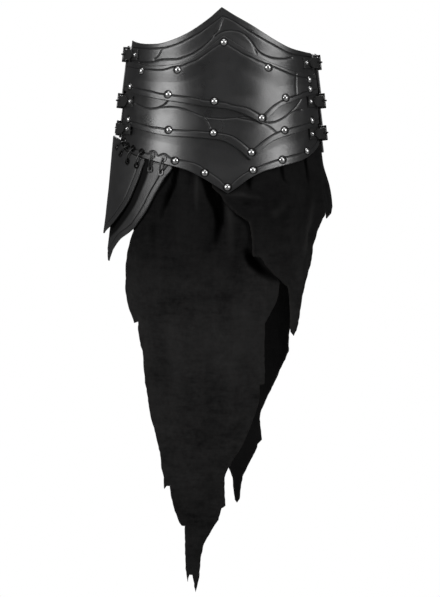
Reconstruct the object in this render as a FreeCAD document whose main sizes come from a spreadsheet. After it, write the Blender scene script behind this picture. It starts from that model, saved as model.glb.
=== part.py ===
"""Waist armour: a riveted belt of overlapping leather bands, two laced hip flaps and a ragged suede skirt.

The origin is the centre of the waist opening, +Z is up, the front faces -Y and the wearer's left is +X.
Angles run round the waist from the middle of the front, positive towards the wearer's left.
An offset is a distance outwards from the form, the flared oval that the belt and skirt are shaped on.
"""
import FreeCAD, Part
import Sketcher
import math
import os

from FreeCAD import Vector

SIZES = {
    "waist_width": 311.0,
    "waist_depth": 226.0,
    "side_flare": 0.125,
    "front_flare": 0.09,
    "hip_depth": 250.0,
    "crest_rise": 146.5,
    "point_drop": 150.0,
    "band_overlap": 22.0,
    "leather_thickness": 3.2,
    "layer_gap": 0.3,
    "front_end_angle": 75.5,
    "back_start_angle": 86.0,
    "station_angle": 7.0,
    "rivet_head_diameter": 10.6,
    "rivet_head_height": 3.0,
    "rivet_shank_diameter": 3.2,
    "rivet_burr_diameter": 7.0,
    "rivet_burr_thickness": 0.9,
    "rivet_margin": 10.0,
    "fastener_play": 0.15,
    "strap_width": 17.0,
    "strap_thickness": 2.4,
    "strap_tip_angle": 65.0,
    "strap_end_angle": 117.0,
    "strap_rivet_diameter": 7.0,
    "heel_angle": 76.5,
    "chape_start_angle": 60.0,
    "chape_ply": 1.6,
    "chape_rivet_angle": 62.3,
    "buckle_height": 25.0,
    "buckle_length": 17.5,
    "buckle_wire": 3.5,
    "heel_bar_diameter": 3.2,
    "prong_width": 2.6,
    "prong_thickness": 1.5,
    "prong_overhang": 0.8,
    "slot_length": 13.5,
    "strap_top_left_height": 57.5,
    "strap_top_right_height": 70.5,
    "strap_middle_height": -5.0,
    "strap_low_left_height": -57.5,
    "strap_low_right_height": -49.4,
    "eyelet_diameter": 11.6,
    "eyelet_bore": 5.6,
    "eyelet_rim": 1.2,
    "eyelet_wall": 0.5,
    "eyelet_margin": 9.0,
    "lace_diameter": 2.5,
    "lace_bend": 2.4,
    "flap_thickness": 2.8,
    "flap_gap": 0.7,
    "flap_eyelet_drop": 14.0,
    "flap_under_offset": -2.2,
    "flap_over_offset": 1.0,
    "flap_stand_off": 16.5,
    "suede_thickness": 1.8,
    "fold_lift": 5.0,
    "fold_start": 20.0,
    "fold_run": 45.0,
    "hip_panel_offset": -0.4,
    "front_panel_offset": -2.5,
    "front_drop": 804.0,
    "hip_drop": 383.0,
    "rear_drop": 713.0,
    "front_tail_share": 0.50995,
    "hip_tail_share": 0.684073,
    "rear_tail_share": 0.575035,
    "tail_gap": 0.3,
    "cut_reach": 320.0,
}

doc = FreeCAD.newDocument("waist_armour")
sizes = doc.addObject("Spreadsheet::Sheet", "sizes")
for row, (alias, value) in enumerate(SIZES.items(), 1):
    sizes.set(f"A{row}", alias.replace("_", " "))
    sizes.set(f"B{row}", str(value))
    sizes.setAlias(f"B{row}", alias)
doc.recompute()


def size(alias):
    """A driving dimension, read from the sheet."""
    return float(sizes.get(alias))


LEATHER = size("leather_thickness")
GAP = size("layer_gap")
PITCH = LEATHER + GAP
END_ANGLE = size("front_end_angle")
BACK_ANGLE = size("back_start_angle")
CREST = size("crest_rise")
POINT = size("point_drop")
PLAY = size("fastener_play")
HALF_TURN = 180.0

# Edges of the front bands, as shares of the end angle and of the crest's rise or the point's drop
TOP_CREST_SHARES = [
    [(-1.0, 0.642), (-0.78, 0.608), (-0.62, 0.602), (-0.52, 0.609), (-0.424, 0.639), (-0.323, 0.687),
     (-0.229, 0.75), (-0.086, 0.879), (0.021, 1.0)],
    [(0.021, 1.0), (0.123, 0.918), (0.278, 0.804), (0.367, 0.733), (0.468, 0.657), (0.577, 0.59),
     (0.66, 0.554), (0.852, 0.514), (1.0, 0.498)],
]
UPPER_CREST_SHARES = [
    [(-1.0, 0.41), (-0.795, 0.396), (-0.64, 0.362), (-0.517, 0.364), (-0.367, 0.381), (-0.278, 0.406),
     (-0.185, 0.472), (-0.099, 0.548), (0.036, 0.689)],
    [(0.036, 0.689), (0.113, 0.625), (0.199, 0.55), (0.286, 0.487), (0.376, 0.423), (0.453, 0.382),
     (0.579, 0.327), (0.66, 0.299), (0.854, 0.276), (1.0, 0.259)],
]
UPPER_FOOT_SHARES = [
    [(-1.0, 0.08), (-0.73, 0.045), (-0.514, 0.003), (-0.287, -0.037), (-0.064, -0.081), (0.06, -0.103),
     (0.146, -0.137), (0.233, -0.193), (0.322, -0.266)],
    [(0.322, -0.266), (0.389, -0.178), (0.462, -0.095), (0.5, -0.069), (0.579, -0.037), (0.669, 0.0),
     (0.838, 0.035), (1.0, 0.05)],
]
MIDDLE_FOOT_SHARES = [
    [(-1.0, -0.273), (-0.728, -0.322), (-0.502, -0.373), (-0.4, -0.393), (-0.171, -0.406), (-0.064, -0.417),
     (0.029, -0.439), (0.086, -0.477), (0.143, -0.532), (0.224, -0.643)],
    [(0.224, -0.643), (0.321, -0.526), (0.385, -0.463), (0.454, -0.423), (0.528, -0.395), (0.653, -0.364),
     (0.754, -0.333), (0.856, -0.303), (1.0, -0.273)],
]
LOWER_FOOT_SHARES = [
    [(-1.0, -0.473), (-0.885, -0.563), (-0.755, -0.6), (-0.636, -0.633), (-0.495, -0.673), (-0.305, -0.729),
     (-0.221, -0.761), (-0.139, -0.815), (-0.026, -0.915), (0.062, -1.0)],
    [(0.062, -1.0), (0.14, -0.923), (0.197, -0.861), (0.257, -0.811), (0.318, -0.774), (0.449, -0.726),
     (0.559, -0.696), (0.689, -0.659), (0.8, -0.607), (0.925, -0.54), (1.0, -0.487)],
]

# Edges of the back bands, as shares of the half turn from one end to the other and of the same heights
BACK_CREST_SHARES = [[
    (-1.0, 0.49), (-0.7, 0.485), (-0.4, 0.44), (0.0, 0.42), (0.4, 0.5), (0.7, 0.57), (1.0, 0.58)]]
BACK_UPPER_FOOT_SHARES = [[(-1.0, -0.1), (-0.5, -0.1), (0.0, -0.14), (0.5, -0.1), (1.0, -0.1)]]
BACK_MIDDLE_FOOT_SHARES = [[(-1.0, -0.44), (-0.5, -0.44), (0.0, -0.48), (0.5, -0.44), (1.0, -0.44)]]
BACK_LOWER_FOOT_SHARES = [[(-1.0, -0.6), (-0.5, -0.64), (0.0, -0.72), (0.5, -0.64), (1.0, -0.6)]]

# Places of the rivets and eyelets round the front, as shares of the end angle
RIVET_ROW_SHARES = {
    "rivets_crest_row": (-0.7, -0.33, 0.038, 0.395, 0.845),
    "rivets_upper_row": (-0.86, -0.4, -0.033, 0.32, 0.534, 0.84),
    "rivets_middle_row": (-0.86, -0.385, -0.04, 0.235, 0.514, 0.85),
    "rivets_lower_row": (-0.325, -0.1, 0.06, 0.247, 0.486, 0.754),
}
BACK_RIVET_SHARES = (-0.58, -0.29, 0.0, 0.29, 0.58)
SIDE_EYELET_SHARES = (-0.935, -0.85, -0.755, -0.64)
FRONT_EYELET_SHARES = (-0.525, -0.42)
SIDE_FLAP_EYELET_SHARES = (-1.08, -0.955, -0.81, -0.68)
FRONT_FLAP_EYELET_SHARES = (-0.545, -0.445)

# Outlines of the laced flaps below the belt, as shares of the end angle and of the point's drop
SIDE_FLAP_HIGH_SHARES = [[(-1.298, -0.425), (-1.192, -0.433), (-1.06, -0.453), (-1.0, -0.478)]]
SIDE_FLAP_LOW_SHARES = [
    [(-1.298, -1.26), (-1.245, -1.43), (-1.192, -1.507)],
    [(-1.192, -1.507), (-1.06, -1.45), (-0.93, -1.37), (-0.795, -1.213), (-0.728, -1.097), (-0.682, -0.963),
     (-0.642, -0.833), (-0.619, -0.74), (-0.605, -0.69)],
]
FRONT_FLAP_HIGH_SHARES = [
    [(-1.166, -1.17), (-1.05, -1.05), (-0.92, -0.95), (-0.8, -0.89), (-0.7, -0.84), (-0.657, -0.81)],
    [(-0.657, -0.81), (-0.635, -0.66)],
]
FRONT_FLAP_LOW_SHARES = [
    [(-1.166, -1.76), (-1.113, -1.807)],
    [(-1.113, -1.807), (-1.026, -1.73), (-0.927, -1.62), (-0.841, -1.533), (-0.742, -1.464), (-0.662, -1.393)],
    [(-0.662, -1.393), (-0.62, -1.32), (-0.58, -1.25), (-0.538, -1.16), (-0.494, -1.04), (-0.444, -0.92),
     (-0.405, -0.833), (-0.37, -0.778), (-0.352, -0.74)],
]

# How each flap stands off: the powers of its upper and lower bends and the lower edge's share of the stand-off
SIDE_FLAP_BEND_SHARES = (3.0, 1.0, 0.75)
FRONT_FLAP_BEND_SHARES = (3.0, 3.0, 1.0)

# Outlines of the suede panels, as shares of the skirt's half width and of each panel's own drop
FRONT_OUTLINE_SHARES = [
    (-0.669, 0.096), (-0.696, 0.187), (-0.734, 0.257), (-0.787, 0.282), (-0.825, 0.313), (-0.838, 0.348),
    (-0.838, 0.383), (-0.812, 0.419), (-0.773, 0.443), (-0.755, 0.455), (-0.719, 0.451), (-0.719, 0.468),
    (-0.696, 0.494), (-0.675, 0.522), (-0.661, 0.555), (-0.639, 0.6), (-0.612, 0.642), (-0.567, 0.678),
    (-0.523, 0.715), (-0.51, 0.749), (-0.489, 0.767), (-0.487, 0.792), (-0.465, 0.785), (-0.434, 0.784),
    (-0.42, 0.808), (-0.391, 0.835), (-0.347, 0.858), (-0.326, 0.864), (-0.299, 0.864), (-0.297, 0.953),
    (-0.275, 0.98), (-0.262, 0.965), (-0.235, 0.965), (-0.205, 1.0), (-0.173, 0.97), (-0.158, 0.927),
    (-0.129, 0.899), (-0.072, 0.876), (-0.005, 0.851), (0.02, 0.826), (0.058, 0.82), (0.051, 0.794),
    (0.051, 0.762), (0.072, 0.748), (0.13, 0.723), (0.201, 0.699), (0.271, 0.662), (0.314, 0.636),
    (0.354, 0.606), (0.356, 0.574), (0.396, 0.572), (0.399, 0.502), (0.399, 0.448), (0.442, 0.432),
    (0.485, 0.412), (0.513, 0.392), (0.527, 0.368), (0.53, 0.311), (0.493, 0.224), (0.482, 0.096),
]
HIP_OUTLINE_SHARES = [
    (-0.56, 0.245), (-0.55, 0.366), (-0.505, 0.402), (-0.498, 0.418), (-0.434, 0.48), (-0.364, 0.509),
    (-0.353, 0.556), (-0.355, 0.655), (-0.305, 0.659), (-0.253, 0.7), (-0.19, 0.736), (-0.118, 0.762),
    (-0.065, 0.789), (-0.051, 0.83), (-0.042, 0.888), (-0.041, 0.953), (-0.033, 0.984), (-0.007, 1.0),
    (0.015, 0.977), (0.04, 0.922), (0.064, 0.828), (0.109, 0.773), (0.196, 0.705), (0.223, 0.627),
    (0.273, 0.564), (0.353, 0.51), (0.407, 0.488), (0.444, 0.488), (0.451, 0.514), (0.544, 0.496),
    (0.621, 0.463), (0.664, 0.392), (0.72, 0.2),
    (0.1, 0.2), (-0.1, 0.245),
]
REAR_OUTLINE_SHARES = [
    (0.95, 0.1), (0.92, 0.21), (0.846, 0.31), (0.782, 0.393), (0.696, 0.477), (0.61, 0.571), (0.609, 0.617),
    (0.554, 0.651), (0.477, 0.696), (0.412, 0.729), (0.353, 0.767), (0.337, 0.788), (0.345, 0.812),
    (0.359, 0.84), (0.319, 0.851), (0.314, 0.86), (0.246, 0.896), (0.177, 0.934), (0.161, 0.962),
    (0.15, 0.99), (0.125, 1.0), (0.104, 0.993), (0.094, 0.972), (0.083, 0.938), (0.052, 0.917),
    (-0.043, 0.881), (-0.161, 0.83), (-0.203, 0.785), (-0.332, 0.732), (-0.375, 0.676), (-0.503, 0.619),
    (-0.557, 0.561), (-0.664, 0.494), (-0.701, 0.438), (-0.793, 0.353), (-0.857, 0.266), (-0.92, 0.18),
    (-0.95, 0.1),
]

# Folds across each panel: share of the end angle, then the lift at the seam and the lift where it hangs,
# both as shares of the fold lift
FRONT_FOLD_SHARES = [
    (-0.83, -1.1, -0.3), (-0.73, -1.1, -0.45), (-0.64, -1.1, -0.4), (-0.53, -1.1, -0.15),
    (-0.42, -1.1, -0.5), (-0.38, -0.6, -1.1), (-0.345, 0.0, -0.6), (-0.305, 0.0, -0.15),
    (-0.265, 0.0, 0.0), (-0.165, 0.0, 0.8), (-0.08, 0.0, -0.3), (-0.025, -0.1, -1.6),
    (0.035, 0.0, -0.3), (0.1, 0.0, 0.6), (0.175, 0.0, -0.15), (0.265, 0.0, -0.3), (0.37, 0.0, -0.1),
    (0.44, 0.0, -0.3), (0.51, 0.0, -0.2),
]
HIP_FOLD_SHARES = [
    (0.0, 0.0, 0.9), (0.12, 0.0, 1.0), (0.21, 0.0, 0.8), (0.305, 0.0, 1.0), (0.4, 0.0, 0.4),
    (0.46, 0.0, 0.05), (0.52, 0.0, 0.4), (0.585, 0.0, 1.0), (0.65, 0.0, 0.3), (0.715, 0.0, -0.6),
    (0.77, 0.0, 0.2), (0.875, 0.0, 1.25), (0.99, 0.0, 0.8), (1.14, 0.0, 1.4), (1.27, 0.0, 1.0),
    (1.34, 0.0, 0.6), (1.4, 0.0, 0.4),
]
REAR_FOLD_SHARES = [
    (1.23, -0.95, -0.9), (1.31, -0.9, -0.8), (1.4, -0.75, -0.5), (1.51, -0.35, 0.7), (1.62, -0.1, 0.0),
    (1.73, -0.05, -1.0), (1.85, -0.05, 0.0), (1.97, -0.05, 1.0), (2.1, -0.05, 0.0), (2.22, -0.05, -1.3),
    (2.33, -0.05, 0.0), (2.45, -0.05, 0.9), (2.57, -0.05, 0.0), (2.69, -0.05, -1.0), (2.81, -0.05, 0.0),
    (2.93, -0.05, 1.1), (3.04, -0.05, 0.0), (3.15, -0.05, -0.9), (3.26, -0.1, 0.0), (3.36, -0.35, 0.8),
    (3.46, -0.75, -0.4),
]

# Levels down the skirt: share of the point's drop, and how strong the folds are there
LEVEL_SHARES = [
    (0.47, 1.0), (0.63, 1.0), (0.76, 1.0), (0.89, 1.0), (1.02, 1.0), (1.15, 1.0), (1.28, 1.0), (1.42, 1.0),
    (1.6, 1.0), (1.8, 1.0), (2.2, 0.9), (2.74, 0.7), (4.0, 0.6), (5.5, 0.5),
]


def form_point(angle, height, offset):
    """A point of the flared oval form, moved outwards by the offset."""
    depth = max(height, -size("hip_depth"))
    across = size("waist_width") / 2 - size("side_flare") * depth + offset
    along = size("waist_depth") / 2 - size("front_flare") * depth + offset
    turn = math.radians(angle)
    return Vector(across * math.sin(turn), -along * math.cos(turn), height)


def form_place(point):
    """The angle and offset of a point, found by halving the interval of offsets."""
    nearest = -size("waist_depth") / 4
    furthest = size("waist_depth") / 4
    for _ in range(50):
        offset = (nearest + furthest) / 2
        across = form_point(90.0, point.z, offset).x
        along = -form_point(0.0, point.z, offset).y
        outside = (point.x / across) ** 2 + (point.y / along) ** 2 > 1
        nearest, furthest = (offset, furthest) if outside else (nearest, offset)
    return math.degrees(math.atan2(point.x / across, -point.y / along)), offset


def smooth_value(run, angle):
    """The value at an angle on one smooth run of (angle, value) points."""
    last = len(run) - 2
    index = 0
    while index < last and angle > run[index + 1][0]:
        index += 1
    slopes = [(b[1] - a[1]) / (b[0] - a[0]) for a, b in zip(run, run[1:])]
    start_slope = slopes[index] if index == 0 else (slopes[index - 1] + slopes[index]) / 2
    end_slope = slopes[index] if index == last else (slopes[index] + slopes[index + 1]) / 2
    (start, low), (end, high) = run[index], run[index + 1]
    span = end - start
    part = (angle - start) / span
    rise = 3 * part**2 - 2 * part**3
    leave = part**3 - 2 * part**2 + part
    arrive = part**3 - part**2
    return low + (high - low) * rise + span * (start_slope * leave + end_slope * arrive)


class EdgeLine:
    """An edge round the body: smooth runs of (angle, height) points that meet at kinks."""

    def __init__(self, share_runs, angle_size, height_size, middle_angle=0.0):
        self.runs = [[(middle_angle + a * angle_size, v * height_size) for a, v in run] for run in share_runs]
        self.kinks = [run[-1][0] for run in self.runs[:-1]]

    def height(self, angle):
        """The height of the edge at an angle."""
        for run in self.runs:
            if angle <= run[-1][0]:
                return smooth_value(run, angle)
        return smooth_value(self.runs[-1], angle)


def stations(start, end, kinks):
    """Angles from start to end in steps of about one station, with the kinks among them."""
    stops = [start] + sorted(k for k in kinks if start < k < end) + [end]
    spans = []
    for low, high in zip(stops, stops[1:]):
        count = max(2, math.ceil((high - low) / size("station_angle")))
        spans.append([low + (high - low) * i / count for i in range(count + 1)])
    return spans


def curved_plate(start, end, low, high, inner_low, inner_high, thickness, kinks=()):
    """A plate that follows the form between two edges: low, high and the inner offsets are functions of the angle."""
    pieces = []
    for span in stations(start, end, kinks):
        ribs = []
        for angle in span:
            corners = [
                form_point(angle, low(angle), inner_low(angle)),
                form_point(angle, low(angle), inner_low(angle) + thickness),
                form_point(angle, high(angle), inner_high(angle) + thickness),
                form_point(angle, high(angle), inner_high(angle)),
            ]
            ribs.append(Part.makePolygon(corners + corners[:1]))
        pieces.append(Part.makeLoft(ribs, True, False))
    if len(pieces) == 1:
        return pieces[0]
    return pieces[0].fuse(pieces[1:]).removeSplitter()


def seat(surface, angle, height):
    """A placement on a surface: X along it towards greater angles, Y up, Z outwards."""
    step = size("station_angle") / 100
    rise = PITCH / 10
    point = surface(angle, height)
    along = (surface(angle + step, height) - surface(angle - step, height)).normalize()
    up = (surface(angle, height + rise) - surface(angle, height - rise)).normalize()
    out = along.cross(up).normalize()
    up = out.cross(along)
    return FreeCAD.Placement(FreeCAD.Matrix(
        along.x, up.x, out.x, point.x,
        along.y, up.y, out.y, point.y,
        along.z, up.z, out.z, point.z,
        0.0, 0.0, 0.0, 1.0,
    ))


def form_seat(angle, height, offset):
    """A placement on the form at an offset."""
    return seat(lambda a, h: form_point(a, h, offset), angle, height)


def placed(shape, placement):
    """A copy of a shape, moved from the origin to a placement."""
    return shape.transformed(placement.toMatrix(), True)


def bore_tool(placement, radius, reach):
    """A cylinder that pierces everything within its reach of a placement."""
    tool = Part.makeCylinder(radius, 2 * reach, Vector(0, 0, -reach))
    return placed(tool, placement)


def feature(label, shape):
    """A sub-part of the document from a finished shape."""
    item = doc.addObject("Part::Feature", label)
    item.Label = label
    item.Shape = shape
    item.Placement = FreeCAD.Placement()
    return item


# Fasteners, drawn once at the origin with their outer seat on the plane Z = 0
def rivet_pattern(name, grip, head="rivet_head_diameter"):
    """A domed rivet whose shank holds a stack as thick as the grip, closed by a burr behind."""
    sphere_radius = f"((sizes.{head} / 2)^2 + sizes.rivet_head_height^2) / (2 * sizes.rivet_head_height)"
    dome = doc.addObject("Part::Sphere", f"{name}_dome")
    dome.setExpression("Radius", sphere_radius)
    dome.setExpression("Angle1", f"asin(1 - sizes.rivet_head_height / ({sphere_radius}))")
    dome.setExpression("Placement.Base.z", f"sizes.rivet_head_height - {sphere_radius}")
    shank = doc.addObject("Part::Cylinder", f"{name}_shank")
    shank.setExpression("Radius", "sizes.rivet_shank_diameter / 2")
    shank.setExpression("Height", f"{grip} + 2.5 * sizes.fastener_play")
    shank.setExpression("Placement.Base.z", f"-({grip} + 2.5 * sizes.fastener_play)")
    burr = doc.addObject("Part::Cylinder", f"{name}_burr")
    burr.setExpression("Radius", "sizes.rivet_burr_diameter / 2")
    burr.setExpression("Height", "sizes.rivet_burr_thickness")
    burr.setExpression("Placement.Base.z", f"-({grip} + 2.5 * sizes.fastener_play + sizes.rivet_burr_thickness)")
    rivet = doc.addObject("Part::MultiFuse", name)
    rivet.Shapes = [dome, shank, burr]
    doc.recompute()
    return rivet.Shape


def origin_plane(body, role):
    """One of a body's own origin planes."""
    return next(item for item in body.Origin.OriginFeatures if item.Role == role)


def polygon_sketch(body, name, role, corners):
    """A closed sketch whose corners are pairs of expressions on one of the body's origin planes."""
    sketch = body.newObject("Sketcher::SketchObject", name)
    sketch.AttachmentSupport = [(origin_plane(body, role), "")]
    sketch.MapMode = "FlatFace"
    points = [Vector(body.evalExpression(x), body.evalExpression(y), 0) for x, y in corners]
    for start, end in zip(points, points[1:] + points[:1]):
        sketch.addGeometry(Part.LineSegment(start, end), False)
    count = len(corners)
    for index in range(count):
        sketch.addConstraint(Sketcher.Constraint("Coincident", index, 2, (index + 1) % count, 1))
    for index, (x, y) in enumerate(corners):
        place = sketch.addConstraint(Sketcher.Constraint("DistanceX", -1, 1, index, 1, points[index].x))
        sketch.setExpression(f"Constraints[{place}]", x)
        place = sketch.addConstraint(Sketcher.Constraint("DistanceY", -1, 1, index, 1, points[index].y))
        sketch.setExpression(f"Constraints[{place}]", y)
    return sketch


def circle_sketch(body, name, role, radii):
    """Circles about the origin of one of the body's origin planes."""
    sketch = body.newObject("Sketcher::SketchObject", name)
    sketch.AttachmentSupport = [(origin_plane(body, role), "")]
    sketch.MapMode = "FlatFace"
    for index, radius in enumerate(radii):
        value = body.evalExpression(radius)
        sketch.addGeometry(Part.Circle(Vector(0, 0, 0), Vector(0, 0, 1), value), False)
        sketch.addConstraint(Sketcher.Constraint("Coincident", index, 3, -1, 1))
        place = sketch.addConstraint(Sketcher.Constraint("Radius", index, value))
        sketch.setExpression(f"Constraints[{place}]", radius)
    return sketch


def eyelet_pattern(name, leather):
    """A two-flanged eyelet through a leather thickness: one profile turned round the Z axis."""
    body = doc.addObject("PartDesign::Body", name)
    bore = "sizes.eyelet_bore / 2"
    barrel = f"{bore} + sizes.eyelet_wall"
    tail = f"-(sizes.{leather} + sizes.fastener_play)"
    corners = [
        (bore, "sizes.eyelet_rim"),
        ("sizes.eyelet_diameter / 2 - sizes.eyelet_rim / 2", "sizes.eyelet_rim"),
        ("sizes.eyelet_diameter / 2", "sizes.eyelet_rim / 2"),
        ("sizes.eyelet_diameter / 2", "sizes.eyelet_rim / 20"),
        (barrel, "sizes.eyelet_rim / 20"),
        (barrel, tail),
        (f"{bore} + 2 * sizes.eyelet_rim", tail),
        (f"{bore} + 2 * sizes.eyelet_rim", f"{tail} - sizes.eyelet_wall"),
        (bore, f"{tail} - sizes.eyelet_wall"),
    ]
    sketch = polygon_sketch(body, f"{name}_profile", "XZ_Plane", corners)
    turned = body.newObject("PartDesign::Revolution", f"{name}_turned")
    turned.Profile = sketch
    turned.ReferenceAxis = (sketch, ["V_Axis"])
    turned.Angle = 360.0
    doc.recompute()
    return body.Shape


def buckle_frame(label, placement):
    """An open rectangular frame with a round heel bar, its heel at the origin and its far bar on +X."""
    body = doc.addObject("PartDesign::Body", label)
    body.Label = label
    heel = "-sizes.buckle_wire / 2"
    far = "sizes.buckle_length - sizes.buckle_wire / 2"
    side = "sizes.buckle_height / 2"
    corners = [
        (heel, side), (heel, f"{side} - sizes.buckle_wire"),
        (f"{far} - sizes.buckle_wire", f"{side} - sizes.buckle_wire"),
        (f"{far} - sizes.buckle_wire", f"-({side} - sizes.buckle_wire)"),
        (heel, f"-({side} - sizes.buckle_wire)"), (heel, f"-({side})"),
        (far, f"-({side})"), (far, side),
    ]
    sketch = polygon_sketch(body, f"{label}_outline", "XY_Plane", corners)
    bars = body.newObject("PartDesign::Pad", f"{label}_bars")
    bars.Profile = sketch
    bars.setExpression("Length", "sizes.buckle_wire")
    bars.Midplane = True
    doc.recompute()
    edges = [
        f"Edge{number}" for number, edge in enumerate(bars.Shape.Edges, 1)
        if min(v.Point.x for v in edge.Vertexes) > body.evalExpression(heel) + PLAY
        or abs(edge.Vertexes[0].Point.x - edge.Vertexes[1].Point.x) > size("buckle_wire")
    ]
    rounded = body.newObject("PartDesign::Fillet", f"{label}_rounded")
    rounded.Base = (bars, edges)
    rounded.setExpression("Radius", "sizes.buckle_wire / 4")
    heel_bar = body.newObject("PartDesign::AdditiveCylinder", f"{label}_heel_bar")
    heel_bar.setExpression("Radius", "sizes.heel_bar_diameter / 2")
    heel_bar.setExpression("Height", "sizes.buckle_height - sizes.buckle_wire")
    heel_bar.Placement = FreeCAD.Placement(
        Vector(0, (size("buckle_height") - size("buckle_wire")) / 2, 0),
        FreeCAD.Rotation(Vector(1, 0, 0), 90),
    )
    body.Placement = placement
    return body


def prong(label, placement):
    """A prong whose eye turns on the heel bar and whose blade lies across the far bar."""
    body = doc.addObject("PartDesign::Body", label)
    body.Label = label
    inner = "sizes.buckle_wire / 2 + sizes.fastener_play"
    outer = f"{inner} + sizes.prong_thickness"
    eye = body.newObject("PartDesign::Pad", f"{label}_eye")
    eye.Profile = circle_sketch(body, f"{label}_eye_rings", "XZ_Plane", [inner, outer])
    eye.setExpression("Length", "sizes.prong_width")
    eye.Midplane = True
    reach = "sizes.buckle_length - sizes.buckle_wire / 2 + sizes.prong_overhang"
    start = "sizes.prong_thickness / 10"
    blade = body.newObject("PartDesign::Pad", f"{label}_blade")
    blade.Profile = polygon_sketch(
        body, f"{label}_blade_side", "XZ_Plane", [(start, inner), (reach, inner), (reach, outer), (start, outer)]
    )
    blade.setExpression("Length", "sizes.prong_width")
    blade.Midplane = True
    body.Placement = placement
    return body


# The belt's bands
top_crest = EdgeLine(TOP_CREST_SHARES, END_ANGLE, CREST)
upper_crest = EdgeLine(UPPER_CREST_SHARES, END_ANGLE, CREST)
upper_foot = EdgeLine(UPPER_FOOT_SHARES, END_ANGLE, POINT)
middle_foot = EdgeLine(MIDDLE_FOOT_SHARES, END_ANGLE, POINT)
lower_foot = EdgeLine(LOWER_FOOT_SHARES, END_ANGLE, POINT)
BACK_SPAN = HALF_TURN - BACK_ANGLE
back_crest = EdgeLine(BACK_CREST_SHARES, BACK_SPAN, CREST, HALF_TURN)
back_upper_foot = EdgeLine(BACK_UPPER_FOOT_SHARES, BACK_SPAN, POINT, HALF_TURN)
back_middle_foot = EdgeLine(BACK_MIDDLE_FOOT_SHARES, BACK_SPAN, POINT, HALF_TURN)
back_lower_foot = EdgeLine(BACK_LOWER_FOOT_SHARES, BACK_SPAN, POINT, HALF_TURN)
OVERLAP = size("band_overlap")


def behind_crest(angle):
    """The hidden lower edge of the top band, kept clear of the middle band behind the same plate."""
    middle = (upper_crest.height(angle) + upper_foot.height(angle)) / 2
    return max(upper_crest.height(angle) - OVERLAP, middle + PITCH / 3)


def behind_foot(angle):
    """The hidden upper edge of the middle band."""
    middle = (upper_crest.height(angle) + upper_foot.height(angle)) / 2
    return min(upper_foot.height(angle) + OVERLAP, middle - PITCH / 3)


def band(low, high, layer, start, end, kinks):
    """A leather band at one layer of the stack."""
    return curved_plate(start, end, low, high, lambda a: layer * PITCH, lambda a: layer * PITCH, LEATHER, kinks)


front = (-END_ANGLE, END_ANGLE)
back = (BACK_ANGLE, 2 * HALF_TURN - BACK_ANGLE)
bands = {
    "top_band": band(
        behind_crest, top_crest.height, 1, *front,
        upper_crest.kinks + top_crest.kinks),
    "upper_plate": band(
        upper_foot.height, upper_crest.height, 2, *front, upper_foot.kinks + upper_crest.kinks),
    "middle_band": band(
        middle_foot.height, behind_foot, 1, *front,
        middle_foot.kinks + upper_foot.kinks),
    "lower_band": band(
        lower_foot.height, lambda a: middle_foot.height(a) + OVERLAP, 0, *front,
        lower_foot.kinks + middle_foot.kinks),
    "back_upper_band": band(back_upper_foot.height, back_crest.height, 2, *back, []),
    "back_middle_band": band(
        back_middle_foot.height, lambda a: back_upper_foot.height(a) + OVERLAP, 1, *back, []),
    "back_lower_band": band(
        back_lower_foot.height, lambda a: back_middle_foot.height(a) + OVERLAP, 0, *back, []),
}


# Rivet rows: each sits one margin inside the edge of the outer of its two layers
MARGIN = size("rivet_margin")
ROW_EDGES = {
    "rivets_crest_row": (upper_crest, -MARGIN, 2),
    "rivets_upper_row": (upper_foot, MARGIN, 2),
    "rivets_middle_row": (middle_foot, MARGIN, 1),
    "rivets_lower_row": (lower_foot, MARGIN, 0),
}
SEAT_LIFT = PLAY / 2
rivet_seats = {}
for row, (edge, shift, layer) in ROW_EDGES.items():
    outer_offset = layer * PITCH + LEATHER + SEAT_LIFT
    rivet_seats[row] = [
        form_seat(share * END_ANGLE, edge.height(share * END_ANGLE) + shift, outer_offset)
        for share in RIVET_ROW_SHARES[row]
    ]
rivet_seats["rivets_back"] = []
for edge, layer in ((back_upper_foot, 2), (back_middle_foot, 1), (back_lower_foot, 0)):
    for share in BACK_RIVET_SHARES:
        angle = HALF_TURN + share * BACK_SPAN
        outer_offset = layer * PITCH + LEATHER + SEAT_LIFT
        rivet_seats["rivets_back"].append(form_seat(angle, edge.height(angle) + MARGIN, outer_offset))

# Straps and buckles: three on each side, each with its height, the layers under its chape, the layers under
# its sewn end, and the layer that each of its rivets is closed behind
sides = {"left": 1.0, "right": -1.0}
strap_rows = {
    "left_top": (size("strap_top_left_height"), 2, 3, 1, 2),
    "left_middle": (size("strap_middle_height"), 2, 3, 1, 1),
    "left_low": (size("strap_low_left_height"), 1, 2, 0, 0),
    "right_top": (size("strap_top_right_height"), 2, 3, 1, 2),
    "right_middle": (size("strap_middle_height"), 2, 3, 1, 1),
    "right_low": (size("strap_low_right_height"), 2, 2, 0, 0),
}
HEEL_RADIUS = size("heel_bar_diameter") / 2
FOLD_RADIUS = HEEL_RADIUS + PLAY + size("chape_ply")
CHAPE = 2 * size("chape_ply")
STRAP = size("strap_thickness")
HALF_STRAP = size("strap_width") / 2
FAR_BAR = size("buckle_length") - size("buckle_wire")
PRONG_RADIUS = size("buckle_wire") / 2 + PLAY + size("prong_thickness")
STRAP_RIVET_ANGLES = (
    size("strap_end_angle") - size("station_angle") / 2,
    size("strap_end_angle") - 3 * size("station_angle") / 2,
)


# How far the form falls away under the far bar, and the rise that lets a strap pass between them
SIDE_RADIUS = (size("waist_depth") / 2)**2 / (size("waist_width") / 2)
FALL = FAR_BAR**2 / (2 * SIDE_RADIUS)
STRAP_RISE = STRAP + 2 * GAP + size("buckle_wire") / 2 - FOLD_RADIUS - FALL


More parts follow.
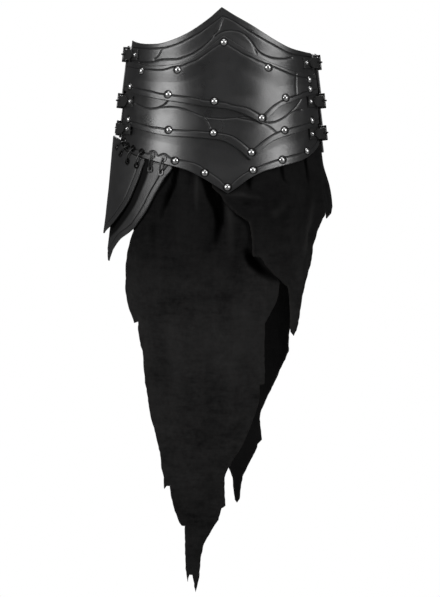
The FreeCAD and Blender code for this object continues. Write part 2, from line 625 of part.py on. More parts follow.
def heel_placement(side, height, chape_offset, back_offset):
    """The heel bar's placement: X towards the back, tilted so that the strap clears the back, Y along the bar."""
    angle = side * size("heel_angle")
    base = form_seat(angle, height, chape_offset + FOLD_RADIUS)
    turn = FreeCAD.Rotation(Vector(0, 0, 1), 0 if side > 0 else HALF_TURN)
    rise = max(0.0, back_offset - chape_offset + STRAP_RISE)
    tilt = FreeCAD.Rotation(Vector(0, 1, 0), -math.degrees(math.asin(min(1.0, rise / FAR_BAR))))
    return base * FreeCAD.Placement(Vector(0, 0, 0), turn) * FreeCAD.Placement(Vector(0, 0, 0), tilt)


def straight_value(run, angle):
    """The value at an angle on a run of (angle, value) points joined by straight lines."""
    index = 0
    while index < len(run) - 2 and angle > run[index + 1][0]:
        index += 1
    (start, low), (end, high) = run[index], run[index + 1]
    return low + (high - low) * (angle - start) / (end - start)


def strap_shape(side, height, chape_offset, heel, back_offset):
    """A strap from its tip over the chape, under the far bar and round to the back bands."""
    half_wire = size("buckle_wire") / 2
    under = -half_wire - 2 * GAP - STRAP
    over_heel = heel.multVec(Vector(HEEL_RADIUS, 0, FOLD_RADIUS + 2 * GAP))
    under_start = heel.multVec(Vector(FAR_BAR - half_wire - GAP, 0, under))
    under_end = heel.multVec(Vector(FAR_BAR + half_wire + GAP, 0, under))
    station = size("station_angle")
    run = [(size("strap_tip_angle"), chape_offset + CHAPE + GAP)]
    run.append((size("strap_tip_angle") + station / 2, chape_offset + CHAPE + 2 * GAP))
    for point in (over_heel, under_start, under_end):
        angle, offset = form_place(point)
        run.append((abs(angle), offset))
    run.append((run[-1][0] + station, max(back_offset, chape_offset) + 2 * GAP))
    run.append((run[-1][0] + station, back_offset))
    run.append((size("strap_end_angle"), back_offset))
    taper_end = size("strap_tip_angle") + station / 2

    def half_width(angle):
        """Half the strap's width, drawn in at the tip."""
        part = min(1.0, (abs(angle) - size("strap_tip_angle")) / (taper_end - size("strap_tip_angle")))
        return HALF_STRAP * (0.4 + 0.6 * part)

    def inner(angle):
        """The strap's inner face."""
        return straight_value(run, abs(angle))

    start, end = sorted((side * size("strap_tip_angle"), side * size("strap_end_angle")))
    kinks = [side * angle for angle, _ in run[1:-1]]
    return curved_plate(
        start, end, lambda a: height - half_width(a), lambda a: height + half_width(a), inner, inner, STRAP, kinks)


def chape_shape(side, height, chape_offset, heel):
    """A folded tab round the heel bar, slotted for the prong's eye."""
    start, end = sorted((side * size("chape_start_angle"), side * size("heel_angle")))
    tab = curved_plate(
        start, end, lambda a: height - HALF_STRAP, lambda a: height + HALF_STRAP,
        lambda a: chape_offset, lambda a: chape_offset, CHAPE)
    along_bar = heel.Rotation.multVec(Vector(0, 1, 0))
    foot = heel.Base - along_bar * HALF_STRAP
    fold = Part.makeCylinder(FOLD_RADIUS, 2 * HALF_STRAP, foot, along_bar)
    bore = Part.makeCylinder(HEEL_RADIUS + PLAY, 4 * HALF_STRAP, foot - along_bar * HALF_STRAP, along_bar)
    slot_width = size("prong_width") + 4 * PLAY
    slot_radius = PRONG_RADIUS + 2 * GAP
    slot = placed(Part.makeBox(3 * slot_radius, slot_width, 4 * slot_radius,
                               Vector(-slot_radius, -slot_width / 2, -2 * slot_radius)), heel)
    return tab.fuse(fold).removeSplitter().cut([bore, slot])


strap_shapes = {}
chape_shapes = {}
heel_places = {}
chape_seats = []
strap_seats = []
for name, (height, chape_layers, back_layers, chape_back, strap_back) in strap_rows.items():
    side = sides[name.split("_")[0]]
    chape_offset = chape_layers * PITCH
    heel = heel_placement(side, height, chape_offset, back_layers * PITCH)
    heel_places[name] = heel
    chape_shapes[name] = chape_shape(side, height, chape_offset, heel)
    chape_rivet = form_seat(side * size("chape_rivet_angle"), height, chape_offset + CHAPE + SEAT_LIFT)
    chape_seats.append((chape_layers - chape_back, chape_rivet))
    strap = strap_shape(side, height, chape_offset, heel, back_layers * PITCH)
    slot_width = size("prong_width") + 4 * PLAY
    slot = Part.makeBox(size("slot_length"), slot_width, 4 * FOLD_RADIUS,
                        Vector(-PRONG_RADIUS - 2 * GAP, -slot_width / 2, -FOLD_RADIUS))
    strap_shapes[name] = strap.cut(placed(slot, heel))
    for angle in STRAP_RIVET_ANGLES:
        strap_rivet = form_seat(side * angle, height, back_layers * PITCH + STRAP + SEAT_LIFT)
        strap_seats.append((back_layers - strap_back, strap_rivet))


class Flap:
    """A stiff leather tongue laced below the belt, flatter than the body so that it stands off at the side."""

    def __init__(self, start, end, high_line, low_line, inner, stand_off, high_power, low_power, low_share):
        self.start = start
        self.end = end
        self.high_line = high_line
        self.low_line = low_line
        self.inner = inner
        self.stand_off = stand_off
        self.high_power = high_power
        self.low_power = low_power
        self.low_share = low_share

    def high(self, angle):
        """The upper edge: just under the belt, then its own line beyond the flap's own corner."""
        own_end = self.high_line.runs[-1][-1][0]
        if angle > own_end:
            return lower_foot.height(angle) - size("flap_gap")
        return self.high_line.height(angle)

    def inner_high(self, angle):
        """The inner face's offset at the upper edge."""
        part = max(0.0, (self.end - angle) / (self.end - self.start))
        return self.inner + self.stand_off * part**self.high_power

    def inner_low(self, angle):
        """The inner face's offset at the lower edge."""
        part = max(0.0, (self.end - angle) / (self.end - self.start))
        return self.inner + self.stand_off * self.low_share * part**self.low_power

    def face(self, angle, height, depth):
        """A point of the flap, at a depth inwards from its outer face."""
        high = self.high(angle)
        low = self.low_line.height(angle)
        part = (high - height) / (high - low)
        offset = self.inner_high(angle) * (1 - part) + self.inner_low(angle) * part
        return form_point(angle, height, offset + size("flap_thickness") - depth)

    def shape(self):
        """The tongue's solid."""
        kinks = self.low_line.kinks + self.high_line.kinks + [self.high_line.runs[-1][-1][0]]
        return curved_plate(self.start, self.end, self.low_line.height, self.high,
                            self.inner_low, self.inner_high, size("flap_thickness"), kinks)

    def eyelet_seat(self, share):
        """Where an eyelet sits, one drop below the upper edge."""
        angle = share * END_ANGLE
        height = self.high(angle) - size("flap_eyelet_drop")
        return seat(lambda a, h: self.face(a, h, 0.0), angle, height)


side_low = EdgeLine(SIDE_FLAP_LOW_SHARES, END_ANGLE, POINT)
front_low = EdgeLine(FRONT_FLAP_LOW_SHARES, END_ANGLE, POINT)
flaps = {
    "tasset_side": Flap(
        side_low.runs[0][0][0], side_low.runs[-1][-1][0], EdgeLine(SIDE_FLAP_HIGH_SHARES, END_ANGLE, POINT),
        side_low, size("flap_over_offset"), size("flap_stand_off"), *SIDE_FLAP_BEND_SHARES),
    "tasset_front": Flap(
        front_low.runs[0][0][0], front_low.runs[-1][-1][0], EdgeLine(FRONT_FLAP_HIGH_SHARES, END_ANGLE, POINT),
        front_low, size("flap_under_offset"), size("flap_over_offset") - size("flap_under_offset"),
        *FRONT_FLAP_BEND_SHARES),
}
flap_shapes = {name: flap.shape() for name, flap in flaps.items()}


def band_eyelet_seat(share):
    """Where an eyelet sits, one margin above the belt's lowest edge."""
    angle = share * END_ANGLE
    return form_seat(angle, lower_foot.height(angle) + size("eyelet_margin"), LEATHER)


band_eyelet_seats = {
    "tasset_side": [band_eyelet_seat(share) for share in SIDE_EYELET_SHARES],
    "tasset_front": [band_eyelet_seat(share) for share in FRONT_EYELET_SHARES],
}
flap_eyelet_seats = {
    "tasset_side": [flaps["tasset_side"].eyelet_seat(share) for share in SIDE_FLAP_EYELET_SHARES],
    "tasset_front": [flaps["tasset_front"].eyelet_seat(share) for share in FRONT_FLAP_EYELET_SHARES],
}

# Laces: one cord per flap, whipped through each pair of eyelets
LACE_RADIUS = size("lace_diameter") / 2
LACE_OUT = size("eyelet_rim") + size("lace_bend")
LACE_IN = size("eyelet_wall") + PLAY + size("lace_bend")


def lace_route(name):
    """The points of one lace, inside and outside at each eyelet in turn."""
    route = []
    for band_seat, flap_seat in zip(band_eyelet_seats[name], flap_eyelet_seats[name]):
        band_in = -LEATHER - LACE_IN
        flap_in = -size("flap_thickness") - LACE_IN
        route.append(band_seat.multVec(Vector(0, 0, band_in)))
        route.append(band_seat.multVec(Vector(0, 0, LACE_OUT)))
        route.append(flap_seat.multVec(Vector(0, 0, LACE_OUT)))
        route.append(flap_seat.multVec(Vector(0, 0, flap_in)))
    start = route[0] + (route[0] - route[3]).normalize() * 3 * LACE_RADIUS
    end = route[-1] + (route[-1] - route[-4]).normalize() * 3 * LACE_RADIUS
    return [start] + route + [end]


def rounded_path(points):
    """Straight runs joined by tangent arcs."""
    edges = []
    radii = []
    last = points[0]
    for before, corner, after in zip(points, points[1:], points[2:]):
        come = corner - before
        leave = after - corner
        turn = come.getAngle(leave)
        trim = size("lace_bend")
        radii.append(trim / math.tan(turn / 2))
        arc_start = corner - come.normalize() * trim
        arc_end = corner + leave.normalize() * trim
        centre_line = ((arc_start + arc_end) / 2 - corner).normalize()
        centre = corner + centre_line * (radii[-1] / math.cos(turn / 2))
        middle = centre - centre_line * radii[-1]
        edges.append(Part.LineSegment(last, arc_start).toShape())
        edges.append(Part.Arc(arc_start, middle, arc_end).toShape())
        last = arc_end
    edges.append(Part.LineSegment(last, points[-1]).toShape())
    return Part.Wire(edges), radii


def lace_shape(name):
    """The lace's tube, with a knot at each end."""
    points = lace_route(name)
    path, radii = rounded_path(points)
    section = Part.Wire(Part.makeCircle(LACE_RADIUS, points[0], points[1] - points[0]))
    tube = path.makePipeShell([section], True, False)
    knots = [Part.makeSphere(1.4 * LACE_RADIUS, point) for point in (points[0], points[-1])]
    drawn = math.pi * LACE_RADIUS**2 * path.Length
    print(f"{name} lace: length {path.Length:.0f}, least radius {min(radii):.1f}, "
          f"volume {tube.Volume:.0f} against {drawn:.0f}")
    return tube.fuse(knots).removeSplitter()


# The skirt
SUEDE = size("suede_thickness")
HALF_SKIRT = form_point(90.0, -size("hip_depth"), 0.0).x
REACH = size("cut_reach")


def hem(angle):
    """The height of the belt's lowest edge at an angle, front or back."""
    if abs(angle) <= END_ANGLE:
        return lower_foot.height(angle)
    return back_lower_foot.height(max(angle % (2 * HALF_TURN), BACK_ANGLE))


def fold_wire(folds, strength, height, base_offset):
    """One closed section across a folded panel: arcs out and in along both faces."""
    points = []
    for share, seam_share, hang_share in folds:
        angle = share * END_ANGLE
        below = hem(angle) - size("fold_start") - height
        opening = min(1.0, max(0.0, below / size("fold_run")))
        lift = size("fold_lift") * (seam_share * (1 - opening) + strength * hang_share * opening)
        points.append((angle, base_offset + lift))
    outer = [form_point(angle, height, offset) for angle, offset in points]
    inner = [form_point(angle, height, offset - SUEDE) for angle, offset in points]
    edges = [Part.Arc(*outer[i:i + 3]).toShape() for i in range(0, len(outer) - 2, 2)]
    edges.append(Part.LineSegment(outer[-1], inner[-1]).toShape())
    inner.reverse()
    edges += [Part.Arc(*inner[i:i + 3]).toShape() for i in range(0, len(inner) - 2, 2)]
    edges.append(Part.LineSegment(inner[-1], outer[0]).toShape())
    return Part.Wire(edges)


def hang_depth(share, seam, drop):
    """The depth at a share of a panel's drop: its seam stays with the belt, and the rest follows the drop."""
    seam_share, seam_level = seam
    seam_depth = seam_level * POINT
    if share <= seam_share:
        return seam_depth * share / seam_share
    return seam_depth + (share - seam_share) / (1 - seam_share) * (drop - seam_depth)


def outline_prism(shares, seam, drop, facing):
    """A block with a panel's ragged outline, reaching outwards from the middle of the body."""
    turn = math.radians(facing)
    across = Vector(math.cos(turn), math.sin(turn), 0)
    outwards = Vector(math.sin(turn), -math.cos(turn), 0)
    points = [across * (x * HALF_SKIRT) + Vector(0, 0, -hang_depth(z, seam, drop)) for x, z in shares]
    face = Part.Face(Part.makePolygon(points + points[:1]))
    return face.extrude(outwards * REACH)


def skirt_panel(folds, base_offset, shares, seam, drop, facing):
    """A folded panel cut to its ragged outline."""
    levels = [(-share * POINT, strength) for share, strength in LEVEL_SHARES]
    needed = [level for level in levels if level[0] > -drop]
    needed += levels[len(needed):len(needed) + 1]
    sections = [fold_wire(folds, strength, height, base_offset) for height, strength in needed]
    sheet = Part.makeLoft(sections, True, True)
    return sheet.common(outline_prism(shares, seam, drop, facing))


def parted(panel, depth):
    """A panel's upper part and its tail, with a narrow gap between them."""
    slab = Part.makeBox(2 * REACH, 2 * REACH, 4 * REACH, Vector(-REACH, -REACH, size("tail_gap") / 2 - depth))
    below = Part.makeBox(2 * REACH, 2 * REACH, 4 * REACH,
                         Vector(-REACH, -REACH, -4 * REACH - size("tail_gap") / 2 - depth))
    return panel.common(slab), panel.common(below)


# Each panel's seam: its share of the nominal drop, and its depth as a share of the point's drop
FRONT_SEAM = (0.096, 0.51456)
HIP_SEAM = (0.245, 0.625567)
REAR_SEAM = (0.1, 0.475333)
panels = {}
panels["front_panel"], panels["front_panel_tail"] = parted(
    skirt_panel(FRONT_FOLD_SHARES, size("front_panel_offset"), FRONT_OUTLINE_SHARES, FRONT_SEAM,
                size("front_drop"), 0.0),
    hang_depth(size("front_tail_share"), FRONT_SEAM, size("front_drop")))
panels["hip_panel"], panels["hip_panel_tail"] = parted(
    skirt_panel(HIP_FOLD_SHARES, size("hip_panel_offset"), HIP_OUTLINE_SHARES, HIP_SEAM, size("hip_drop"), 50.0),
    hang_depth(size("hip_tail_share"), HIP_SEAM, size("hip_drop")))
panels["rear_panel"], panels["rear_panel_tail"] = parted(
    skirt_panel(REAR_FOLD_SHARES, size("hip_panel_offset"), [(-x, z) for x, z in REAR_OUTLINE_SHARES], REAR_SEAM,
                size("rear_drop"), HALF_TURN),
    hang_depth(size("rear_tail_share"), REAR_SEAM, size("rear_drop")))

# Holes for every fastener, then the sub-parts
SHANK_BORE = size("rivet_shank_diameter") / 2 + PLAY
EYELET_HOLE = size("eyelet_bore") / 2 + size("eyelet_wall") + PLAY
STACK = 5 * PITCH
rivet_tools = {row: [bore_tool(place, SHANK_BORE, STACK) for place in seats] for row, seats in rivet_seats.items()}
chape_tools = [bore_tool(place, SHANK_BORE, STACK) for _, place in chape_seats]
strap_tools = [bore_tool(place, SHANK_BORE, STACK) for _, place in strap_seats]
band_eyelet_tools = [
    bore_tool(place, EYELET_HOLE, 2 * LEATHER) for seats in band_eyelet_seats.values() for place in seats]
front_tools = [tool for row in RIVET_ROW_SHARES for tool in rivet_tools[row]] + chape_tools
back_tools = rivet_tools["rivets_back"] + strap_tools

for name, shape in bands.items():
    tools = back_tools if name.startswith("back") else front_tools
    if name == "lower_band":
        tools = tools + band_eyelet_tools
    feature(name, shape.cut(tools))
for name in strap_rows:
    feature(f"strap_{name}", strap_shapes[name].cut(strap_tools))
    feature(f"chape_{name}", chape_shapes[name].cut(chape_tools))
    buckle_frame(f"buckle_{name}", heel_places[name])
    prong(f"prong_{name}", heel_places[name])
for name, shape in flap_shapes.items():
    tools = [bore_tool(place, EYELET_HOLE, 2 * LEATHER) for place in flap_eyelet_seats[name]]
    feature(name, shape.cut(tools))
for name, shape in panels.items():
    tools = rivet_tools["rivets_back"] if name.startswith("rear") else rivet_tools["rivets_lower_row"]
    feature(name, shape if name.endswith("tail") else shape.cut(tools))
for name in flaps:
    feature(name.replace("tasset", "lace"), lace_shape(name))

two_layers = rivet_pattern("rivet_two_layers", "(sizes.leather_thickness * 2 + sizes.layer_gap)")
seam_rivet = rivet_pattern(
    "rivet_seam", "(sizes.leather_thickness - sizes.front_panel_offset + sizes.suede_thickness)")
for row, seats in rivet_seats.items():
    if row == "rivets_lower_row":
        patterns = [seam_rivet] * len(seats)
    elif row == "rivets_back":
        per_row = len(BACK_RIVET_SHARES)
        patterns = [two_layers] * (2 * per_row) + [seam_rivet] * per_row
    else:
        patterns = [two_layers] * len(seats)
    feature(row, Part.makeCompound([placed(shape, place) for shape, place in zip(patterns, seats)]))

strap_patterns = {
    layers: rivet_pattern(
        f"rivet_strap_{layers}",
        f"(sizes.strap_thickness + {layers} * (sizes.leather_thickness + sizes.layer_gap))", "strap_rivet_diameter")
    for layers in (1, 2)
}
chape_patterns = {
    layers: rivet_pattern(
        f"rivet_chape_{layers}",
        f"(2 * sizes.chape_ply + {layers} * (sizes.leather_thickness + sizes.layer_gap))", "strap_rivet_diameter")
    for layers in (1, 2)
}
feature("rivets_strap_ends", Part.makeCompound(
    [placed(strap_patterns[layers], place) for layers, place in strap_seats]))
feature("rivets_chapes", Part.makeCompound(
    [placed(chape_patterns[layers], place) for layers, place in chape_seats]))

band_eyelet = eyelet_pattern("eyelet_band", "leather_thickness")
flap_eyelet = eyelet_pattern("eyelet_flap", "flap_thickness")
feature("eyelets_band", Part.makeCompound(
    [placed(band_eyelet, place) for seats in band_eyelet_seats.values() for place in seats]))
feature("eyelets_tasset_side", Part.makeCompound(
    [placed(flap_eyelet, place) for place in flap_eyelet_seats["tasset_side"]]))
feature("eyelets_tasset_front", Part.makeCompound(
    [placed(flap_eyelet, place) for place in flap_eyelet_seats["tasset_front"]]))

# Check every object, then write each sub-part
PATTERNS = ("rivet_two_layers", "rivet_seam", "rivet_strap", "rivet_chape", "eyelet_band", "eyelet_flap")
doc.recompute()
faults = [item.Label for item in doc.Objects if {"Invalid", "Error"} & set(item.State)]
subparts = [
    item for item in doc.Objects
    if item.TypeId in ("Part::Feature", "PartDesign::Body") and not item.Label.startswith(PATTERNS)
]
faults += [item.Label for item in subparts if item.Shape.isNull() or not item.Shape.isValid()]
if faults:
    raise RuntimeError(f"failed objects: {faults}")
os.makedirs("parts", exist_ok=True)
for item in subparts:
    item.Shape.exportStep(f"parts/{item.Label}.step")
print(f"{len(subparts)} sub-parts written")

# Where the moving pieces turn
for name, heel in heel_places.items():
    axis = heel.Rotation.multVec(Vector(0, 1, 0))
    print(f"prong_{name} hinge {heel.Base} axis {axis}")
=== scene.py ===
"""Looks of a waist armour: tooled leather bands, laced flaps, side straps and a ragged suede skirt.

Angles run round the waist in degrees from the middle of the front, positive towards the wearer's left.
Sizes are in millimetres, tables are too where they don't say otherwise, and meshes are in metres.
"""
from __future__ import annotations

import logging
import math
from collections.abc import Callable, Sequence
from dataclasses import dataclass, field
from enum import Enum

import bmesh
import bpy
import numpy as np
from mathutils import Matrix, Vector, noise


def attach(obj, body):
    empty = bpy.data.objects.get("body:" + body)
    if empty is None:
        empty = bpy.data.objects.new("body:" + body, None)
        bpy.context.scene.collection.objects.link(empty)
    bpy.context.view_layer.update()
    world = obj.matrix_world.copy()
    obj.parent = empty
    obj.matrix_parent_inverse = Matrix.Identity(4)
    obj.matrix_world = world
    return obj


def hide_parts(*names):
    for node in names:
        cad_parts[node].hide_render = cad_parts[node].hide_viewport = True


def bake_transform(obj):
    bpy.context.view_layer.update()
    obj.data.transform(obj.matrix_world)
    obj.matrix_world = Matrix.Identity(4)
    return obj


log = logging.getLogger("waist_armour")
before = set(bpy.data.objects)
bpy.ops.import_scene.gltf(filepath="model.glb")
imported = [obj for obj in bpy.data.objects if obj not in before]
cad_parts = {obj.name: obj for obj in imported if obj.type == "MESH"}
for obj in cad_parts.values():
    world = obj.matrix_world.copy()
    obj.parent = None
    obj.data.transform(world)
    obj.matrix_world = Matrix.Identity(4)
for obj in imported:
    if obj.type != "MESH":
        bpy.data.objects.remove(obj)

Array = np.ndarray
Line = Sequence[tuple[float, float]]
Colour = tuple[float, float, float]
Object = bpy.types.Object
Material = bpy.types.Material
Node = bpy.types.Node
Socket = bpy.types.NodeSocket
Values = dict[str | int, object]
Surface = Callable[[Array, Array, bool], tuple[Array, Array, Array]]

# Sizes shared by the bands, flaps and panels
MM = 0.001
CREST = 146.5
POINT = 150.0
END_ANGLE = 75.5
BACK_ANGLE = 86.0
HALF_TURN = 180.0
LEATHER = 3.2
LAYER = 3.5
OVERLAP = 22.0
RIVET_RISE = 10.0
EYELET_RISE = 9.0

# Places along the front as shares of the end angle
RIVETS = {
    "crest": (-0.7, -0.33, 0.038, 0.395, 0.845),
    "upper": (-0.86, -0.4, -0.033, 0.32, 0.534, 0.84),
    "middle": (-0.86, -0.385, -0.04, 0.235, 0.514, 0.85),
    "lower": (-0.325, -0.1, 0.06, 0.247, 0.486, 0.754),
}
BAND_EYELETS = {"tasset_side": (-0.935, -0.85, -0.755, -0.64), "tasset_front": (-0.525, -0.42)}
FLAP_EYELETS = {"tasset_side": (-1.08, -0.955, -0.81, -0.68), "tasset_front": (-0.545, -0.445)}

# Lines cut into the front of each band, as (angle, height)
TOP_TOOLING = [
    [(-75, 82.6), (-59.1, 80.9), (-47, 80.6), (-37.6, 81.4), (-30.2, 84.9), (-24, 90.1), (-18.2, 97.2),
     (-12.5, 105.1), (-7.6, 113.8), (-2.6, 123.3), (2, 132)],
    [(2, 132), (8, 125.7), (13, 117.8), (19.3, 107.4), (25, 99.3), (29.7, 92.8), (35.2, 86.5), (40.4, 80.1),
     (46.7, 73.9), (56.2, 69.5), (75, 66)],
    [(-37.5, 81), (-39.7, 70), (-43.2, 62.7)],
    [(-58.5, 58.3), (-50, 58.6), (-43.7, 59.8), (-38.4, 62.7), (-31, 63.5), (-26.1, 63.9), (-21.5, 67.1),
     (-16.5, 72.2), (-11.6, 79.8), (-8, 87.7), (-4.4, 97.2), (-3.2, 102.9), (-0.7, 109.2), (1, 120),
     (2.4, 130)],
    [(-2.9, 98.8), (-0.1, 104.5), (3, 107.9), (6.7, 109.2), (10.1, 108.3), (13.5, 106.2), (16.6, 101),
     (19.7, 92.5), (21.9, 84.1), (23.9, 77.7), (27.1, 71.8), (31.8, 67.1), (36.8, 64.8), (42.9, 64.3),
     (49.1, 66.5)],
    [(22.2, 80), (23.2, 73.4)],
]
UPPER_TOOLING = [
    [(-75.3, 51.6), (-60, 49), (-43.9, 46.8), (-37.5, 46.3), (-32.4, 47.9), (-27.7, 51.2), (-22.6, 52.8),
     (-18.3, 56.9), (-12.9, 62.8), (-7.6, 72.7), (-3, 82), (0.6, 87.7), (2.8, 92.4)],
    [(2.8, 92.4), (5, 87.7), (10.6, 78.2), (14.7, 71.4), (19.5, 65.5), (23.7, 60.3), (27.5, 56.8),
     (33.3, 51.5), (38.1, 46.8), (42.5, 42.6), (49.7, 37.2), (60.8, 33.5), (75, 31)],
    [(50.2, 40), (48.9, 6)],
    [(-75, 19), (-60, 17.5), (-50.3, 14.7), (-42.4, 11.9), (-36.4, 8.9), (-26.7, 6.2), (-19.8, 4.1),
     (-15.1, 2.7), (-8.8, -0.7), (3.4, -5.2), (6.7, -8.6), (15.5, -13.7), (18.9, -18.5), (22.3, -24),
     (24.1, -28.5)],
    [(24.1, -28.5), (26.5, -21.9), (29.7, -14), (33.5, -7.7), (37.3, -2.8), (44.8, 3.4), (50.8, 6.4),
     (56.8, 10.7), (75, 15)],
]
MIDDLE_TOOLING = [
    [(-75, -34), (-62, -37.5), (-53.7, -40), (-47, -42.8), (-41.3, -45.2), (-35.4, -46.5), (-26.1, -49.2),
     (-19.5, -49.8), (-9.8, -50.8), (0.6, -53.7), (6.6, -57.5), (10.9, -64.6), (14.3, -72.6), (17.6, -82.3)],
    [(17.6, -82.3), (20.5, -76.2), (24.4, -67.4), (29.4, -58.7), (34.6, -52.6), (42.5, -47.8), (49.8, -44.4),
     (58.6, -40.4), (75, -34)],
    [(-58, -8), (-52.9, -11.5), (-48.5, -14.5), (-42.5, -15.5), (-37.9, -14.1), (-33.7, -10.1), (-31.8, -5.9),
     (-30.5, -3)],
    [(-36.6, -13.6), (-30.5, -12.7), (-24.4, -13.3), (-20, -16.1), (-15.2, -20.2), (-10.6, -25.4),
     (-7.2, -28.1), (-2.7, -29.6), (3.4, -30.5), (11.2, -28.4), (16.3, -26.1)],
    [(-8.6, -28), (-6.6, -36), (-4.8, -45)],
    [(10.3, -28.9), (15.1, -32.2), (19.9, -33.9)],
    [(24.8, -38.2), (29.7, -46), (33.1, -53.5)],
    [(24.7, -37.8), (30.9, -37.1), (35.1, -34), (39.8, -28.5), (44.2, -21.6), (48.4, -14), (51.6, -7.2),
     (54, -1)],
    [(44.7, -21.4), (48.9, -18.5), (53.8, -17.5)],
]
LOWER_TOOLING = [
    [(-75, -62), (-66.8, -75), (-57, -81), (-48.3, -86), (-43.4, -88.5), (-42, -85.5), (-39.6, -83.4),
     (-37.2, -86.5), (-35.9, -91), (-34.1, -89.8), (-31.7, -87.6), (-29.3, -90.5), (-27.7, -93.8),
     (-22.1, -97.1), (-16.9, -99.7), (-11.8, -103.5), (-7.9, -110.1), (-3.6, -118.8), (0.6, -127.7),
     (4.6, -141.4)],
    [(4.6, -141.4), (9.1, -127.8), (15.1, -115.7), (21.3, -108.3), (26, -103.4), (31, -99.2), (39.7, -93.3),
     (45.8, -90.5), (53.5, -87), (63, -80), (75, -64)],
]

# The outlines as thousandths of half the width and of the drop; the folds as (share, seam, hang)
FRONT_OUTLINE = [
    (-669, 96), (-696, 187), (-734, 257), (-787, 282), (-825, 313), (-838, 348), (-838, 383), (-812, 419),
    (-773, 443), (-755, 455), (-719, 451), (-719, 468), (-696, 494), (-675, 522), (-661, 555), (-639, 600),
    (-612, 642), (-567, 678), (-523, 715), (-510, 749), (-489, 767), (-487, 792), (-465, 785), (-434, 784),
    (-420, 808), (-391, 835), (-347, 858), (-326, 864), (-299, 864), (-297, 953), (-275, 980), (-262, 965),
    (-235, 965), (-205, 1000), (-173, 970), (-158, 927), (-129, 899), (-72, 876), (-5, 851), (20, 826),
    (58, 820), (51, 794), (51, 762), (72, 748), (130, 723), (201, 699), (271, 662), (314, 636), (354, 606),
    (356, 574), (396, 572), (399, 502), (399, 448), (442, 432), (485, 412), (513, 392), (527, 368),
    (530, 311), (493, 224), (482, 96),
]
HIP_OUTLINE = [
    (-560, 245), (-550, 366), (-505, 402), (-498, 418), (-434, 480), (-364, 509), (-353, 556), (-355, 655),
    (-305, 659), (-253, 700), (-190, 736), (-118, 762), (-65, 789), (-51, 830), (-42, 888), (-41, 953),
    (-33, 984), (-7, 1000), (15, 977), (40, 922), (64, 828), (109, 773), (196, 705), (223, 627), (273, 564),
    (353, 510), (407, 488), (444, 488), (451, 514), (544, 496), (621, 463), (664, 392), (720, 200),
    (100, 200), (-100, 245),
]
REAR_OUTLINE = [
    (-950, 100), (-920, 210), (-846, 310), (-782, 393), (-696, 477), (-610, 571), (-609, 617), (-554, 651),
    (-477, 696), (-412, 729), (-353, 767), (-337, 788), (-345, 812), (-359, 840), (-319, 851), (-314, 860),
    (-246, 896), (-177, 934), (-161, 962), (-150, 990), (-125, 1000), (-104, 993), (-94, 972), (-83, 938),
    (-52, 917), (43, 881), (161, 830), (203, 785), (332, 732), (375, 676), (503, 619), (557, 561), (664, 494),
    (701, 438), (793, 353), (857, 266), (920, 180), (950, 100),
]
FRONT_FOLDS = [
    (-0.83, -1.1, -0.3), (-0.73, -1.1, -0.45), (-0.64, -1.1, -0.4), (-0.53, -1.1, -0.15), (-0.42, -1.1, -0.5),
    (-0.38, -0.6, -1.1), (-0.345, 0, -0.6), (-0.305, 0, -0.15), (-0.265, 0, 0), (-0.165, 0, 0.8),
    (-0.08, 0, -0.3), (-0.025, -0.1, -1.6), (0.035, 0, -0.3), (0.1, 0, 0.6), (0.175, 0, -0.15),
    (0.265, 0, -0.3), (0.37, 0, -0.1), (0.44, 0, -0.3), (0.51, 0, -0.2),
]
HIP_FOLDS = [
    (0, 0, 0.9), (0.12, 0, 1), (0.21, 0, 0.8), (0.305, 0, 1), (0.4, 0, 0.4), (0.46, 0, 0.05), (0.52, 0, 0.4),
    (0.585, 0, 1), (0.65, 0, 0.3), (0.715, 0, -0.6), (0.77, 0, 0.2), (0.875, 0, 1.25), (0.99, 0, 0.8),
    (1.14, 0, 1.4), (1.27, 0, 1), (1.34, 0, 0.6), (1.4, 0, 0.4),
]
REAR_FOLDS = [
    (1.23, -0.95, -0.9), (1.31, -0.9, -0.8), (1.4, -0.75, -0.5), (1.51, -0.35, 0.7), (1.62, -0.1, 0),
    (1.73, -0.05, -1), (1.85, -0.05, 0), (1.97, -0.05, 1), (2.1, -0.05, 0), (2.22, -0.05, -1.3),
    (2.33, -0.05, 0), (2.45, -0.05, 0.9), (2.57, -0.05, 0), (2.69, -0.05, -1), (2.81, -0.05, 0),
    (2.93, -0.05, 1.1), (3.04, -0.05, 0), (3.15, -0.05, -0.9), (3.26, -0.1, 0), (3.36, -0.35, 0.8),
    (3.46, -0.75, -0.4),
]
FOLD_LEVELS = [(-825, 0.5), (-600, 0.6), (-411, 0.7), (-330, 0.9), (-270, 1), (-70, 1)]


@dataclass(frozen=True)
class Form:
    """The flared oval that the belt and skirt are shaped on."""

    waist_width: float = 311.0
    waist_depth: float = 226.0
    side_flare: float = 0.125
    front_flare: float = 0.09
    hip_depth: float = 250.0

    def halves(self, height: Array) -> tuple[Array, Array]:
        """Half the width and half the depth at a height."""
        depth = np.maximum(height, -self.hip_depth)
        return self.waist_width / 2 - self.side_flare * depth, self.waist_depth / 2 - self.front_flare * depth

    def point(self, angle: Array, height: Array, offset: Array) -> Array:
        """The x, y and z of places at an angle, a height and an offset outwards."""
        across, along = self.halves(height)
        turn = np.radians(angle)
        return np.stack(
            [(across + offset) * np.sin(turn), -(along + offset) * np.cos(turn), height + 0 * offset], -1)

    def ring(self) -> tuple[Array, Array]:
        """Whole degrees, and the distance round the form to each from the middle of the front."""
        steps = np.arange(-120.0, 481.0)
        points = self.point(steps, 0 * steps, 0 * steps)
        lengths = np.concatenate([[0.0], np.cumsum(np.linalg.norm(np.diff(points, axis=0), axis=1))])
        return steps, lengths - np.interp(0.0, steps, lengths)

    def girth(self, angle: Array) -> Array:
        """Distance round the form from the middle of the front to each angle."""
        return np.interp(angle, *self.ring())

    def angle_at(self, girth: Array) -> Array:
        """The angle at a distance round the form."""
        return np.interp(girth, *self.ring()[::-1])


FORM = Form()


